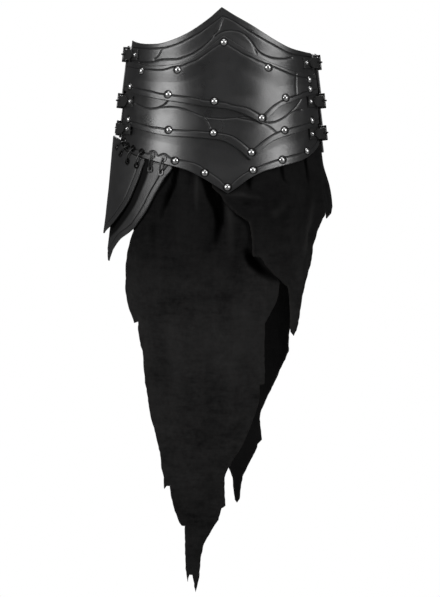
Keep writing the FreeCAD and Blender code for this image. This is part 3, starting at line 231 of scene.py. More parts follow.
def ease(share: Array) -> Array:
    """A soft step from 0 to 1."""
    part = np.clip(share, 0, 1)
    return part**2 * (3 - 2 * part)


def smooth_values(run: Line, angle: Array) -> Array:
    """Values at angles along one smooth run of (angle, value) points."""
    xs, ys = np.array(run, float).T
    index = np.clip(np.searchsorted(xs, angle, side="right") - 1, 0, len(xs) - 2)
    slopes = np.diff(ys) / np.diff(xs)
    tangents = np.concatenate([slopes[:1], (slopes[:-1] + slopes[1:]) / 2, slopes[-1:]])
    span = np.diff(xs)[index]
    part = (angle - xs[index]) / span
    rise = 3 * part**2 - 2 * part**3
    leave = part**3 - 2 * part**2 + part
    arrive = part**3 - part**2
    curve = span * (tangents[index] * leave + tangents[index + 1] * arrive)
    return ys[index] + (ys[index + 1] - ys[index]) * rise + curve


@dataclass(frozen=True)
class EdgeLine:
    """An edge round the body: smooth runs that meet at kinks, in thousandths of the two sizes."""

    runs: Sequence[Line]
    height_size: float = POINT
    angle_size: float = END_ANGLE
    middle: float = 0.0

    @property
    def ends(self) -> tuple[float, float]:
        """The angles where the edge starts and ends."""
        return self.runs[0][0][0] / 1000 * self.angle_size, self.runs[-1][-1][0] / 1000 * self.angle_size

    def height(self, angle: Array) -> Array:
        """The edge's height at each angle."""
        share = (np.asarray(angle, float) - self.middle) / self.angle_size
        *others, last = [np.array(run) / 1000 for run in self.runs]
        values = smooth_values(last, share)
        for run in reversed(others):
            values = np.where(share <= run[-1][0], smooth_values(run, share), values)
        return values * self.height_size

    def overlap(self, angle: Array) -> Array:
        """The upper edge of the band that is tucked behind this edge."""
        return self.height(angle) + OVERLAP


BACK_SPAN = HALF_TURN - BACK_ANGLE
TOP_EDGE = EdgeLine([
    [(-1000, 642), (-780, 608), (-620, 602), (-520, 609), (-424, 639), (-323, 687), (-229, 750), (-86, 879),
     (21, 1000)],
    [(21, 1000), (123, 918), (278, 804), (367, 733), (468, 657), (577, 590), (660, 554), (852, 514),
     (1000, 498)],
], CREST)
CREST_EDGE = EdgeLine([
    [(-1000, 410), (-795, 396), (-640, 362), (-517, 364), (-367, 381), (-278, 406), (-185, 472), (-99, 548),
     (36, 689)],
    [(36, 689), (113, 625), (199, 550), (286, 487), (376, 423), (453, 382), (579, 327), (660, 299),
     (854, 276), (1000, 259)],
], CREST)
UPPER_EDGE = EdgeLine([
    [(-1000, 80), (-730, 45), (-514, 3), (-287, -37), (-64, -81), (60, -103), (146, -137), (233, -193),
     (322, -266)],
    [(322, -266), (389, -178), (462, -95), (500, -69), (579, -37), (669, 0), (838, 35), (1000, 50)],
])
MIDDLE_EDGE = EdgeLine([
    [(-1000, -273), (-728, -322), (-502, -373), (-400, -393), (-171, -406), (-64, -417), (29, -439),
     (86, -477), (143, -532), (224, -643)],
    [(224, -643), (321, -526), (385, -463), (454, -423), (528, -395), (653, -364), (754, -333), (856, -303),
     (1000, -273)],
])
LOWER_EDGE = EdgeLine([
    [(-1000, -473), (-885, -563), (-755, -600), (-636, -633), (-495, -673), (-305, -729), (-221, -761),
     (-139, -815), (-26, -915), (62, -1000)],
    [(62, -1000), (140, -923), (197, -861), (257, -811), (318, -774), (449, -726), (559, -696), (689, -659),
     (800, -607), (925, -540), (1000, -487)],
])
BACK_TOP = EdgeLine([
    [(-1000, 490), (-700, 485), (-400, 440), (0, 420), (400, 500), (700, 570), (1000, 580)],
], CREST, BACK_SPAN, HALF_TURN)
BACK_UPPER = EdgeLine([
    [(-1000, -100), (-500, -100), (0, -140), (500, -100), (1000, -100)],
], POINT, BACK_SPAN, HALF_TURN)
BACK_MIDDLE = EdgeLine([
    [(-1000, -440), (-500, -440), (0, -480), (500, -440), (1000, -440)],
], POINT, BACK_SPAN, HALF_TURN)
BACK_LOWER = EdgeLine([
    [(-1000, -600), (-500, -640), (0, -720), (500, -640), (1000, -600)],
], POINT, BACK_SPAN, HALF_TURN)
SIDE_FLAP_HIGH = EdgeLine([[(-1298, -425), (-1192, -433), (-1060, -453), (-1000, -478)]])
SIDE_FLAP_LOW = EdgeLine([
    [(-1298, -1260), (-1245, -1430), (-1192, -1507)],
    [(-1192, -1507), (-1060, -1450), (-930, -1370), (-795, -1213), (-728, -1097), (-682, -963), (-642, -833),
     (-619, -740), (-605, -690)],
])
FRONT_FLAP_HIGH = EdgeLine([
    [(-1166, -1170), (-1050, -1050), (-920, -950), (-800, -890), (-700, -840), (-657, -810)],
    [(-657, -810), (-635, -660)],
])
FRONT_FLAP_LOW = EdgeLine([
    [(-1166, -1760), (-1113, -1807)],
    [(-1113, -1807), (-1026, -1730), (-927, -1620), (-841, -1533), (-742, -1464), (-662, -1393)],
    [(-662, -1393), (-620, -1320), (-580, -1250), (-538, -1160), (-494, -1040), (-444, -920), (-405, -833),
     (-370, -778), (-352, -740)],
])


def line_distance(points: Array, line: Array) -> tuple[Array, Array, Array]:
    """How far points lie from a line of joined runs.

    Args:
        points: one row of two coordinates each.
        line: the line's points in order.

    Returns:
        The distances, the side of the line that each point is on, and how far along it is from 0 to 1.
    """
    start = line[:-1]
    run = line[1:] - start
    relative = points[:, None, :] - start[None]
    along = np.clip((relative * run).sum(-1) / (run**2).sum(-1), 0.0, 1.0)
    gap = relative - along[..., None] * run
    distance = np.hypot(gap[..., 0], gap[..., 1])
    nearest = distance.argmin(1)
    rows = np.arange(len(points))
    cross = run[nearest, 0] * relative[rows, nearest, 1] - run[nearest, 1] * relative[rows, nearest, 0]
    return distance[rows, nearest], np.sign(cross), (nearest + along[rows, nearest]) / len(run)


def eased_line(line: Line) -> Array:
    """A tooled line's points as (girth, height), with smooth bends."""
    points = np.array([(float(FORM.girth(np.array(a))), z) for a, z in line])
    steps = np.arange(len(points))
    fine = np.linspace(0, len(points) - 1, 6 * (len(points) - 1) + 1)
    return np.stack([smooth_values(list(zip(steps, points[:, k])), fine) for k in (0, 1)], -1)


def wander(girth: Array, height: Array, size: float, seed: float) -> Array:
    """Soft random values between about -1 and 1 that change over a size in millimetres."""
    return np.array([noise.noise(Vector((g / size + seed, h / size, 0.0))) for g, h in zip(girth, height)])


# Finishes
class Nodes:
    """A short way to build a shader's nodes."""

    def __init__(self, owner: bpy.types.ID) -> None:
        """Empties a material's or a world's tree, or takes a group's."""
        if isinstance(owner, bpy.types.NodeTree):
            self.tree = owner
        else:
            owner.use_nodes = True
            self.tree = owner.node_tree
            self.tree.nodes.clear()

    def add(self, kind: str, values: Values | None = None, **settings: object) -> Node:
        """Adds a node.

        Args:
            kind: the node's type.
            values: what each socket is given.
            settings: the node's own options.

        Returns:
            The new node.
        """
        node = self.tree.nodes.new(f"ShaderNode{kind}")
        for key, value in settings.items():
            setattr(node, key, value)
        self.feed(node, values or {})
        return node

    def feed(self, node: Node, values: Values) -> None:
        """Gives a node's sockets their values, or links them to other nodes' outputs."""
        for name, value in values.items():
            if isinstance(value, Socket):
                self.tree.links.new(value, node.inputs[name])
            else:
                node.inputs[name].default_value = value

    def ramp(self, source: Socket, low: float, high: float, start: float, end: float) -> Socket:
        """Maps a value's range from low..high to start..end."""
        return self.add("MapRange", {"Value": source, "From Min": low, "From Max": high, "To Min": start,
                                     "To Max": end}).outputs["Result"]

    def mix(self, share: Socket, first: object, second: object) -> Socket:
        """Mixes two colours."""
        return self.add("Mix", {0: share, 6: first, 7: second}, data_type="RGBA").outputs[2]

    def math(self, operation: str, *values: object) -> Socket:
        """Joins values by an arithmetic operation."""
        return self.add("Math", dict(enumerate(values)), operation=operation).outputs[0]

    def noise(self, place: Socket, scale: object, detail: float, rough: float = 0.5,
              twist: float = 0.0) -> Socket:
        """A noise pattern's values."""
        return self.add("TexNoise", {"Vector": place, "Scale": scale, "Detail": detail, "Roughness": rough,
                                     "Distortion": twist}).outputs["Fac"]

    def attribute(self, name: str) -> Socket:
        """A value that the mesh carries."""
        return self.add("Attribute", attribute_name=name).outputs["Fac"]

    def place(self) -> Socket:
        """Each point's own place on the piece."""
        return self.add("TexCoord").outputs["Object"]

    def bump(self, height: Socket, strength: float, distance: float) -> Socket:
        """Normals of a fine relief."""
        values = {"Height": height, "Strength": strength, "Distance": distance}
        return self.add("Bump", values).outputs["Normal"]


def rgba(colour: Colour, dim: float = 1.0) -> tuple[float, ...]:
    """A colour for a socket, dimmed or raised by a factor."""
    return (*(dim * part for part in colour), 1.0)


def grey(value: float) -> Colour:
    """An even grey."""
    return value, value, value


class Effects:
    """The effects that several finishes share."""

    def __init__(self) -> None:
        """Builds every group once."""
        nodes, given, end = self.group("hide_grain", {"Pore Scale": 900.0, "Crease Scale": 240.0}, "Height")
        place = nodes.place()
        pores = nodes.add("TexVoronoi", {"Vector": place, "Scale": given["Pore Scale"]}, feature="SMOOTH_F1")
        creases = nodes.noise(place, given["Crease Scale"], 5.0, 0.6)
        nodes.feed(end, {"Height": nodes.math("MULTIPLY_ADD", pores.outputs["Distance"], 0.5, creases)})
        self.hide_grain = nodes.tree
        inputs = {"Scale": 14.0, "Fine Scale": 60.0, "Low": 0.3, "High": 0.7}
        nodes, given, end = self.group("mottle", inputs, "Patch")
        place = nodes.place()
        broad = nodes.noise(place, given["Scale"], 3.0, 0.55, 0.6)
        fine = nodes.noise(place, given["Fine Scale"], 4.0, 0.6)
        joined = nodes.math("MULTIPLY_ADD", fine, 0.35, nodes.math("MULTIPLY", broad, 0.65))
        nodes.feed(end, {"Patch": nodes.ramp(joined, given["Low"], given["High"], 0.0, 1.0)})
        self.mottle = nodes.tree

    def group(self, name: str, inputs: dict[str, float], output: str) -> tuple[Nodes, object, Node]:
        """Starts a shader group.

        Args:
            name: the group's name.
            inputs: its inputs and their usual values.
            output: its output.

        Returns:
            The group's nodes, the outputs of its input node, and its output node.
        """
        tree = bpy.data.node_groups.new(name, "ShaderNodeTree")
        for key, value in inputs.items():
            socket = tree.interface.new_socket(name=key, in_out="INPUT", socket_type="NodeSocketFloat")
            socket.default_value = value
        tree.interface.new_socket(name=output, in_out="OUTPUT", socket_type="NodeSocketFloat")
        return Nodes(tree), tree.nodes.new("NodeGroupInput").outputs, tree.nodes.new("NodeGroupOutput")

    def grain(self, nodes: Nodes, pore: float, crease: float) -> Socket:
        """Fine pores and creases of a hide."""
        values = {"Pore Scale": pore, "Crease Scale": crease}
        return nodes.add("Group", values, node_tree=self.hide_grain).outputs[0]

    def patch(self, nodes: Nodes, scale: float, fine: float, low: float = 0.3, high: float = 0.7) -> Socket:
        """Broad uneven patches at two scales."""
        return nodes.add("Group", {"Scale": scale, "Fine Scale": fine, "Low": low, "High": high},
                         node_tree=self.mottle).outputs[0]


def start_finish(name: str) -> tuple[Material, Nodes, Node]:
    """Starts a material with an empty Principled shader."""
    material = bpy.data.materials.new(name)
    nodes = Nodes(material)
    shader = nodes.add("BsdfPrincipled")
    nodes.add("OutputMaterial", {"Surface": shader.outputs["BSDF"]})
    return material, nodes, shader


@dataclass(frozen=True)
class LeatherFinish:
    """Dyed leather with a satin face, dark cuts, painted shadows and rubbed rims."""

    name: str
    colour: Colour = (0.008, 0.008, 0.0083)
    worn_colour: Colour = (0.016, 0.0157, 0.0155)
    rough_low: float = 0.25
    rough_high: float = 0.4
    grain: float = 0.2
    coat: float = 0.1
    cut_depth: float = 0.9

    def build(self, effects: Effects) -> Material:
        """The material."""
        material, nodes, shader = start_finish(self.name)
        patch = effects.patch(nodes, 16.0, 90.0)
        cut = nodes.attribute("cut")
        face = nodes.mix(patch, rgba(self.colour), rgba(self.colour, 1.35))
        face = nodes.mix(nodes.math("MULTIPLY", nodes.attribute("rim"), patch), face, rgba(self.worn_colour))
        base = nodes.ramp(patch, 0.0, 1.0, self.rough_low, self.rough_high)
        # Where the cut attribute is high the leather is darker and Metallic takes the last gloss out: in the
        # tooled cuts, and in the painted shadows round the rivets and under a flap
        nodes.feed(shader, {
            "Base Color": nodes.mix(cut, face, rgba(self.colour, 0.25)),
            "Roughness": nodes.math("MULTIPLY_ADD", cut, 0.3, base),
            "Metallic": nodes.math("MULTIPLY", cut, self.cut_depth),
            "Coat Weight": nodes.ramp(cut, 0.0, 0.6, self.coat, 0.0),
            "Normal": nodes.bump(effects.grain(nodes, 1050.0, 260.0), self.grain, 0.0006),
            "Coat Roughness": 0.34, "Specular IOR Level": 0.5})
        return material


@dataclass(frozen=True)
class SuedeFinish:
    """Black suede: a soft nap brushed in patches, with painted shade under the belt and in the gathers, a
    painted highlight with rubbed nap on the ridges, and darker towards the tips.
    """

    name: str = "black_suede"
    dark: Colour = (0.0022, 0.0022, 0.0023)
    light: Colour = (0.022, 0.0216, 0.0213)
    fold_shade_colour: Colour = (0.0003, 0.0003, 0.0003)
    hem: Colour = (0.013, 0.0125, 0.012)
    belt_shade_share: float = 0.68
    tip_share: float = 0.45

    def build(self, effects: Effects) -> Material:
        """The material."""
        material, nodes, shader = start_finish(self.name)
        dark, light = rgba(self.dark), rgba(self.light)
        place = nodes.place()
        nap = nodes.noise(place, 1500.0, 4.0, 0.7)
        turned = nodes.add("Mapping", {"Vector": place, "Scale": (0.35, 0.35, 1.6)}).outputs["Vector"]
        streaks = nodes.ramp(nodes.noise(turned, 70.0, 7.0, 0.7, 0.4), 0.38, 0.66, 0.0, 0.5)
        height = nodes.add("SeparateXYZ", {"Vector": place}).outputs["Z"]
        # The attribute is 1 in the depth of a gather, where shade is painted, and -1 on the crown of a ridge,
        # where a highlight is painted
        crease = nodes.attribute("crease")
        depth = nodes.ramp(crease, 0.0, 1.0, 0.0, 0.95)
        colour = nodes.mix(effects.patch(nodes, 11.0, 130.0, 0.32, 0.68), dark, light)
        for share, other in (
            (streaks, light),
            (nodes.math("MULTIPLY", nap, 0.5), dark),
            # Painted shade under the belt, darkest just below it
            (nodes.ramp(height, -0.34, -0.19, 0.0, self.belt_shade_share), dark),
            # Darker towards the tips
            (nodes.ramp(height, -0.6, -0.8, 0.0, self.tip_share), dark),
            # Painted shade in the depths of the gathers
            (depth, rgba(self.fold_shade_colour)),
            # Lighter on the crowns of the ridges: rubbed nap and a painted highlight
            (nodes.ramp(crease, 0.0, -1.0, 0.0, 0.5), light),
            (nodes.math("MULTIPLY", nodes.attribute("rim"), 0.6), rgba(self.hem)),
        ):
            colour = nodes.mix(share, colour, other)
        # Metallic takes the gloss out of the painted shade in the gathers
        nodes.feed(shader, {
            "Base Color": colour, "Metallic": depth, "Normal": nodes.bump(nap, 0.5, 0.0005),
            "Roughness": 0.95, "Specular IOR Level": 0.03, "Sheen Weight": 0.008, "Sheen Roughness": 0.55})
        return material


@dataclass(frozen=True)
class MetalFinish:
    """Plated or polished metal with faint scratches and tarnish."""

    name: str
    colour: Colour
    tarnish: Colour
    rough_low: float = 0.16
    rough_high: float = 0.3

    def build(self, effects: Effects) -> Material:
        """The material."""
        material, nodes, shader = start_finish(self.name)
        patch = effects.patch(nodes, 150.0, 900.0)
        scuffs = nodes.noise(nodes.place(), 2600.0, 2.0)
        nodes.feed(shader, {
            "Base Color": nodes.mix(patch, rgba(self.colour), rgba(self.tarnish)),
            "Roughness": nodes.ramp(patch, 0.0, 1.0, self.rough_low, self.rough_high),
            "Normal": nodes.bump(scuffs, 0.08, 0.0002), "Metallic": 1.0})
        return material


@dataclass
class Finishes:
    """Every finish on the armour."""

    effects: Effects = field(default_factory=Effects)

    def __post_init__(self) -> None:
        """Builds the materials."""
        self.band = LeatherFinish("satin_band_leather").build(self.effects)
        self.flap = LeatherFinish("flap_leather", (0.007, 0.007, 0.0073), rough_low=0.36, rough_high=0.52,
                                  coat=0.05).build(self.effects)
        self.strap = LeatherFinish("strap_leather", grey(0.005), rough_low=0.36, rough_high=0.5,
                                   grain=0.16).build(self.effects)
        self.lace = LeatherFinish("lace_leather", grey(0.002), rough_low=0.28, rough_high=0.4, grain=0.15,
                                  coat=0.0).build(self.effects)
        self.suede = SuedeFinish().build(self.effects)
        # A darker copy of the suede: painted shade for the rear panel's inside
        self.shaded_suede = SuedeFinish("shaded_black_suede", light=(0.006, 0.0059, 0.0058)).build(self.effects)
        self.rivet = MetalFinish("polished_rivet_steel", grey(0.46), grey(0.3), 0.2).build(self.effects)
        self.buckle = MetalFinish("black_nickel_buckle", grey(0.1), grey(0.05)).build(self.effects)
        self.eyelet = MetalFinish("dark_eyelet_nickel", grey(0.035), grey(0.012), rough_low=0.14,
                                  rough_high=0.26).build(self.effects)


# Mesh helpers
def add_object(name: str, data: bpy.types.ID) -> Object:
    """Puts an object in the scene."""
    item = bpy.data.objects.new(name, data)
    bpy.context.scene.collection.objects.link(item)
    return item


def add_piece(name: str, bm: bmesh.types.BMesh, material: Material) -> Object:
    """Turns a bmesh into a smooth-shaded piece of the scene."""
    for face in bm.faces:
        face.smooth = True
    mesh = bpy.data.meshes.new(name)
    bm.to_mesh(mesh)
    bm.free()
    mesh.materials.append(material)
    return add_object(name, mesh)


def spaced(length: float, step: float, rim_steps: Sequence[float]) -> Array:
    """Shares from 0 to 1 along a length, close together at both ends and even between."""
    rims = np.array(rim_steps)
    count = max(2, round((length - 2 * rims[-1]) / step))
    middle = np.linspace(rims[-1], length - rims[-1], count + 1)
    return np.concatenate([[0.0], rims[:-1], middle, length - rims[:-1][::-1], [length]]) / length


def shell(name: str, girths: Array, shares: Array, surface: Surface, material: Material) -> Object:
    """A plate with a detailed face, a turned rim and a plain back.

    Args:
        name: the piece's name.
        girths: the columns' places round the body.
        shares: the rows' places from the lower edge to the upper.
        surface: gives points, rim values, and cut values that hold the cuts' darkness and painted shadows,
            for columns and rows, on the face or on the back.
        material: the finish.

    Returns:
        The piece.
    """
    bm = bmesh.new()
    layers = {key: bm.verts.layers.float.new(key) for key in ("column", "row", "back", "rim", "cut")}
    columns = len(girths) - 1

    def grid(rows: Array, back: float) -> list[bmesh.types.BMVert]:
        """Adds a grid whose points carry their column and row."""
        verts = bmesh.ops.create_grid(bm, x_segments=columns, y_segments=len(rows) - 1, size=0.5)["verts"]
        for vert in verts:
            vert[layers["column"]] = girths[round((vert.co.x + 0.5) * columns)]
            vert[layers["row"]] = rows[round((vert.co.y + 0.5) * (len(rows) - 1))]
            vert[layers["back"]] = back
        return verts

    grid(shares, 0.0)
    wall = bmesh.ops.extrude_edge_only(bm, edges=[edge for edge in bm.edges if edge.is_boundary])["geom"]
    for item in wall:
        if isinstance(item, bmesh.types.BMVert):
            item[layers["back"]] = 1.0
    back = grid(np.array([0.0, 1.0]), 1.0)
    bmesh.ops.reverse_faces(bm, faces=list({f for vert in back for f in vert.link_faces}))
    column, row, behind = (np.array([vert[layers[key]] for vert in bm.verts])
                           for key in ("column", "row", "back"))
    # The cut values carry the tooled cuts' darkness and the painted shadows
    front_points, rim, cut = surface(column, row, False)
    points = np.where(behind[:, None] > 0.5, surface(column, row, True)[0], front_points) * MM
    for vert, point, rim_value, cut_value in zip(bm.verts, points, rim, cut):
        vert.co = point
        vert[layers["rim"]] = rim_value
        vert[layers["cut"]] = cut_value
    bmesh.ops.remove_doubles(bm, verts=bm.verts, dist=1e-5)
    bmesh.ops.recalc_face_normals(bm, faces=bm.faces)
    return add_piece(name, bm, material)


@dataclass(frozen=True)
class Tooling:
    """How lines are cut and rims are turned."""

    width: float = 1.2
    depth: float = 1.0
    bevel_width: float = 4.5
    bevel_depth: float = 0.6
    rim_radius: float = 1.2
    worn_width: float = 2.2
    rim_steps: tuple[float, ...] = (0.35, 0.8, 1.3, 2.0)

    def cuts(self, points: Array, lines: Sequence[Array]) -> tuple[Array, Array]:
        """How deep each (girth, height) is cut by lines in the same coordinates, and how dark from 0 to 1."""
        depth = np.zeros(len(points))
        dark = np.zeros(len(points))
        for line in lines:
            distance, side, _ = line_distance(points, line)
            groove = self.depth * np.clip(1 - distance / self.width, 0, 1)
            slope = self.bevel_depth * np.clip(1 - distance / self.bevel_width, 0, 1) ** 2 * (side < 0)
            depth = np.maximum(depth, groove + slope)
            dark = np.maximum(dark, np.clip(0.8 - distance / self.width, 0, 1))
        return depth, dark

    def turned(self, distance: Array) -> Array:
        """How far the rounded rim falls at a distance from the edge."""
        inside = np.clip(self.rim_radius - distance, 0, self.rim_radius)
        return self.rim_radius - np.sqrt(np.maximum(self.rim_radius**2 - inside**2, 0))

    def worn(self, distance: Array) -> Array:
        """How rubbed the leather is at a distance from the edge."""
        return np.clip(1 - distance / self.worn_width, 0, 1)


TOOLING = Tooling()


@dataclass
class Band:
    """A leather band of the belt, cut with tooled lines, hollowed and dimpled at its rivets, with a painted
    contact shadow ringing each rivet.
    """

    node: str
    low: Callable[[Array], Array]
    high: Callable[[Array], Array]
    layer: int
    hollow: float = 0.0
    tooling: Sequence[Line] = ()
    rivets: Line = ()
    start: float = -END_ANGLE
    end: float = END_ANGLE
    step: float = 1.15
    row_step: float = 0.85
    dimple_depth: float = 0.3
    dimple_radius: float = 5.5
    shadow_ring_radius: float = 5.7
    shadow_ring_width: float = 1.1
    uneven: float = 0.2
    uneven_size: float = 30.0
    hollow_margin: float = 6.0
    hollow_run: float = 32.0
    hollow_end: float = 64.0
    hollow_fade: float = 12.0
    calm_angle: float = 8.0

    def build(self, finishes: Finishes) -> Object:
        """The band's piece, in the place of its CAD node."""
        first, last = FORM.girth(np.array([self.start, self.end]))
        girths = first + (last - first) * spaced(last - first, self.step, TOOLING.rim_steps)
        angles = FORM.angle_at(girths)
        tall = float(np.mean(self.high(angles) - self.low(angles)))
        lines = [eased_line(line) for line in self.tooling]
        rivets = [(float(FORM.girth(np.array(a))), z) for a, z in self.rivets]

        def surface(girth: Array, share: Array, behind: bool) -> tuple[Array, Array, Array]:
            """Points of the band's face or back."""
            angle = FORM.angle_at(girth)
            low, high = self.low(angle), self.high(angle)
            height = low + share * (high - low)
            if behind:
                inner = np.full_like(angle, self.layer * LAYER)
                return FORM.point(angle, height, inner), angle * 0, angle * 0
            ends = np.minimum(girth - first, last - girth)
            depth, cut = TOOLING.cuts(np.stack([girth, height], -1), lines)
            for place_girth, place_height in rivets:
                away = np.hypot(girth - place_girth, height - place_height)
                depth += self.dimple_depth * np.exp(-((away / self.dimple_radius) ** 2))
                # Painted contact shadow: a dark ring on the leather round each rivet head
                cut = np.maximum(cut, np.clip(1.5 - np.abs(away - self.shadow_ring_radius) / self.shadow_ring_width, 0, 1))
            depth -= self.uneven * wander(girth, height, self.uneven_size, self.layer * 7.3)
            # The hollow follows calmed edges, so that no crease runs on from a point or a peak
            shifts = np.linspace(-self.calm_angle, self.calm_angle, 11)
            near = [np.clip(angle + shift, self.start, self.end) for shift in shifts]
            calm_low, calm_high = (np.mean([line(place) for place in near], axis=0)
                                   for line in (self.low, self.high))
            calm = np.minimum.reduce([height - calm_low, calm_high - height, ends])
            depth += (self.hollow * ease((calm - self.hollow_margin) / self.hollow_run)
                      * np.clip((self.hollow_end - np.abs(angle)) / self.hollow_fade, 0, 1))
            edge = np.minimum.reduce([height - low, high - height, ends])
            depth = np.maximum(depth, 0.0) + TOOLING.turned(edge)
            return FORM.point(angle, height, self.layer * LAYER + LEATHER - depth), TOOLING.worn(edge), cut

        shares = spaced(tall, self.row_step, TOOLING.rim_steps)
        piece = shell(f"{self.node}_leather", girths, shares, surface, finishes.band)
        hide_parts(self.node)
        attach(piece, "belt")
        return piece


def rivets_by(edge: EdgeLine, row: str, rise: float = RIVET_RISE) -> Line:
    """Rivet places as (angle, height), at a rise from an edge."""
    angles = np.array(RIVETS[row]) * END_ANGLE
    return list(zip(angles, edge.height(angles) + rise))


def plate_middle(angle: Array) -> Array:
    """The height of the upper plate's middle."""
    return (CREST_EDGE.height(angle) + UPPER_EDGE.height(angle)) / 2


def behind_crest(angle: Array) -> Array:
    """The top band's hidden lower edge."""
    return np.maximum(CREST_EDGE.height(angle) - OVERLAP, plate_middle(angle) + LAYER / 3)


def behind_foot(angle: Array) -> Array:
    """The middle band's hidden upper edge."""
    return np.minimum(UPPER_EDGE.height(angle) + OVERLAP, plate_middle(angle) - LAYER / 3)


@dataclass
class Belt:
    """The seven bands round the waist."""

    finishes: Finishes

    def build(self) -> list[Object]:
        """Every band."""
        plate_rivets = [*rivets_by(CREST_EDGE, "crest", -RIVET_RISE), *rivets_by(UPPER_EDGE, "upper")]
        back = {"start": BACK_ANGLE, "end": 2 * HALF_TURN - BACK_ANGLE, "step": 4.0, "row_step": 4.0}
        bands = [
            Band("top_band", behind_crest, TOP_EDGE.height, 1, 1.0, TOP_TOOLING),
            Band("upper_plate", UPPER_EDGE.height, CREST_EDGE.height, 2, 1.6, UPPER_TOOLING, plate_rivets),
            Band("middle_band", MIDDLE_EDGE.height, behind_foot, 1, 1.2, MIDDLE_TOOLING,
                 rivets_by(MIDDLE_EDGE, "middle")),
            Band("lower_band", LOWER_EDGE.height, MIDDLE_EDGE.overlap, 0, 1.2, LOWER_TOOLING,
                 rivets_by(LOWER_EDGE, "lower")),
            Band("back_upper_band", BACK_UPPER.height, BACK_TOP.height, 2, **back),
            Band("back_middle_band", BACK_MIDDLE.height, BACK_UPPER.overlap, 1, **back),
            Band("back_lower_band", BACK_LOWER.height, BACK_MIDDLE.overlap, 0, **back),
        ]
        return [band.build(self.finishes) for band in bands]


@dataclass
class Flap:
    """A stiff laced tongue with a line tooled inside its border."""

    node: str
    body: str
    high_line: EdgeLine
    low_line: EdgeLine
    inner: float
    stand_off: float
    low_power: float = 3.0
    low_share: float = 1.0
    high_power: float = 3.0
    thickness: float = 2.8
    gap: float = 0.7
    border: float = 9.0
    eyelet_drop: float = 14.0
    # The flap above, whose shadow is painted on this flap
    covered_by: EdgeLine | None = None
    flap_shadow_margin: float = 14.0
    flap_shadow_fade: float = 4.0
    flap_shadow_dark: float = 0.95
    tall: float = 110.0
    step: float = 1.3
    row_step: float = 1.2
    cut_depth: float = 0.9
    bevel_depth: float = 0.3
    bevel_run: float = 4.0
    uneven: float = 0.25
    uneven_size: float = 30.0
    seed: float = 3.1

    def high(self, angle: Array) -> Array:
        """The upper edge."""
        beside_own = angle > self.high_line.ends[1]
        return np.where(beside_own, LOWER_EDGE.height(angle) - self.gap, self.high_line.height(angle))

    def offset(self, angle: Array, share: Array) -> Array:
        """The inner face's offset, with share 0 at the lower edge and 1 at the upper."""
        start, end = self.low_line.ends
        part = np.clip((end - angle) / (end - start), 0, 1)
        high = self.inner + self.stand_off * part**self.high_power
        low = self.inner + self.stand_off * self.low_share * part**self.low_power
        return high * share + low * (1 - share)

    def outer_point(self, angle: float, drop: float, depth: float) -> Array:
        """A point at a drop below the upper edge and a depth inside the outer face."""
        angles = np.array([angle])
        high, low = self.high(angles), self.low_line.height(angles)
        share = 1 - drop / (high - low)
        return FORM.point(angles, high - drop, self.offset(angles, share) + self.thickness - depth)[0]

    def flap_shadow(self, flat: Array, angle: Array) -> Array:
        """How far each place lies in the painted shadow of the flap above it, from 0 outside to 1 under it.
        """
        if self.covered_by is None:
            return np.zeros(len(angle))
        fine = np.linspace(*self.covered_by.ends, 160)
        edge = np.stack([FORM.girth(fine), self.covered_by.height(fine)], -1)
        beyond = np.clip((self.flap_shadow_margin - line_distance(flat, edge)[0]) / self.flap_shadow_fade, 0, 1)
        under = (flat[:, 1] > self.covered_by.height(angle)) & (angle < self.covered_by.ends[1])
        return np.where(under, 1.0, beyond)

    def build(self, finishes: Finishes) -> Object:
        """The flap's piece, in the place of its CAD node."""
        first, last = FORM.girth(np.array(self.low_line.ends))
        girths = first + (last - first) * spaced(last - first, self.step, TOOLING.rim_steps)
        shares = spaced(self.tall, self.row_step, TOOLING.rim_steps)
        fine = np.linspace(*self.low_line.ends, 160)
        low_edge, high_edge = (np.stack([FORM.girth(fine), line(fine)], -1)
                               for line in (self.low_line.height, self.high))

        def surface(girth: Array, share: Array, behind: bool) -> tuple[Array, Array, Array]:
            """Points of the flap's face or back."""
            angle = FORM.angle_at(girth)
            low, high = self.low_line.height(angle), self.high(angle)
            height = low + share * (high - low)
            offset = self.offset(angle, share)
            if behind:
                return FORM.point(angle, height, offset), angle * 0, angle * 0
            flat = np.stack([girth, height], -1)
            below = line_distance(flat, low_edge)[0]
            edge = np.minimum.reduce([below, line_distance(flat, high_edge)[0], girth - first, last - girth])
            groove = np.clip(1 - np.abs(below - self.border) / TOOLING.width, 0, 1)
            bevel = np.clip(1 - (below - self.border) / self.bevel_run, 0, 1) * (below > self.border)
            depth = self.cut_depth * groove + self.bevel_depth * bevel + TOOLING.turned(np.maximum(edge, 0))
            depth += self.uneven * (1 + wander(girth, height, self.uneven_size, self.seed)) * (edge > 2)
            # The tooled groove's darkness, joined with the painted shadow of the flap above
            dark = np.maximum(groove, self.flap_shadow_dark * self.flap_shadow(flat, angle))
            return FORM.point(angle, height, offset + self.thickness - depth), TOOLING.worn(edge), dark

        piece = shell(f"{self.node}_leather", girths, shares, surface, finishes.flap)
        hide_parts(self.node)
        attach(piece, self.body)
        return piece


def hem_height(angle: Array) -> Array:
    """The height of the belt's lowest edge, front or back."""
    turned = np.maximum(np.mod(angle, 2 * HALF_TURN), BACK_ANGLE)
    return np.where(np.abs(angle) <= END_ANGLE, LOWER_EDGE.height(np.clip(angle, -END_ANGLE, END_ANGLE)),
                    BACK_LOWER.height(turned))


@dataclass(frozen=True)
class Crease:
    """A gather or ridge that runs along a line on a panel and fades at its end."""

    line: Line
    width: float
    lift: float
    start_share: float = 1.0
    open_rate: float = 4.0
    fade_power: float = 0.6

    def lifts(self, places: Array) -> Array:
        """How far each flat place of the panel is lifted outwards, in millimetres."""
        distance, _, along = line_distance(places, np.array(self.line, float))
        opening = self.start_share + (1 - self.start_share) * np.clip(along * self.open_rate, 0, 1)
        fade = opening * (1 - along) ** self.fade_power
        return self.lift * np.exp(-((distance / self.width) ** 2)) * np.where(along >= 1, 0, fade)


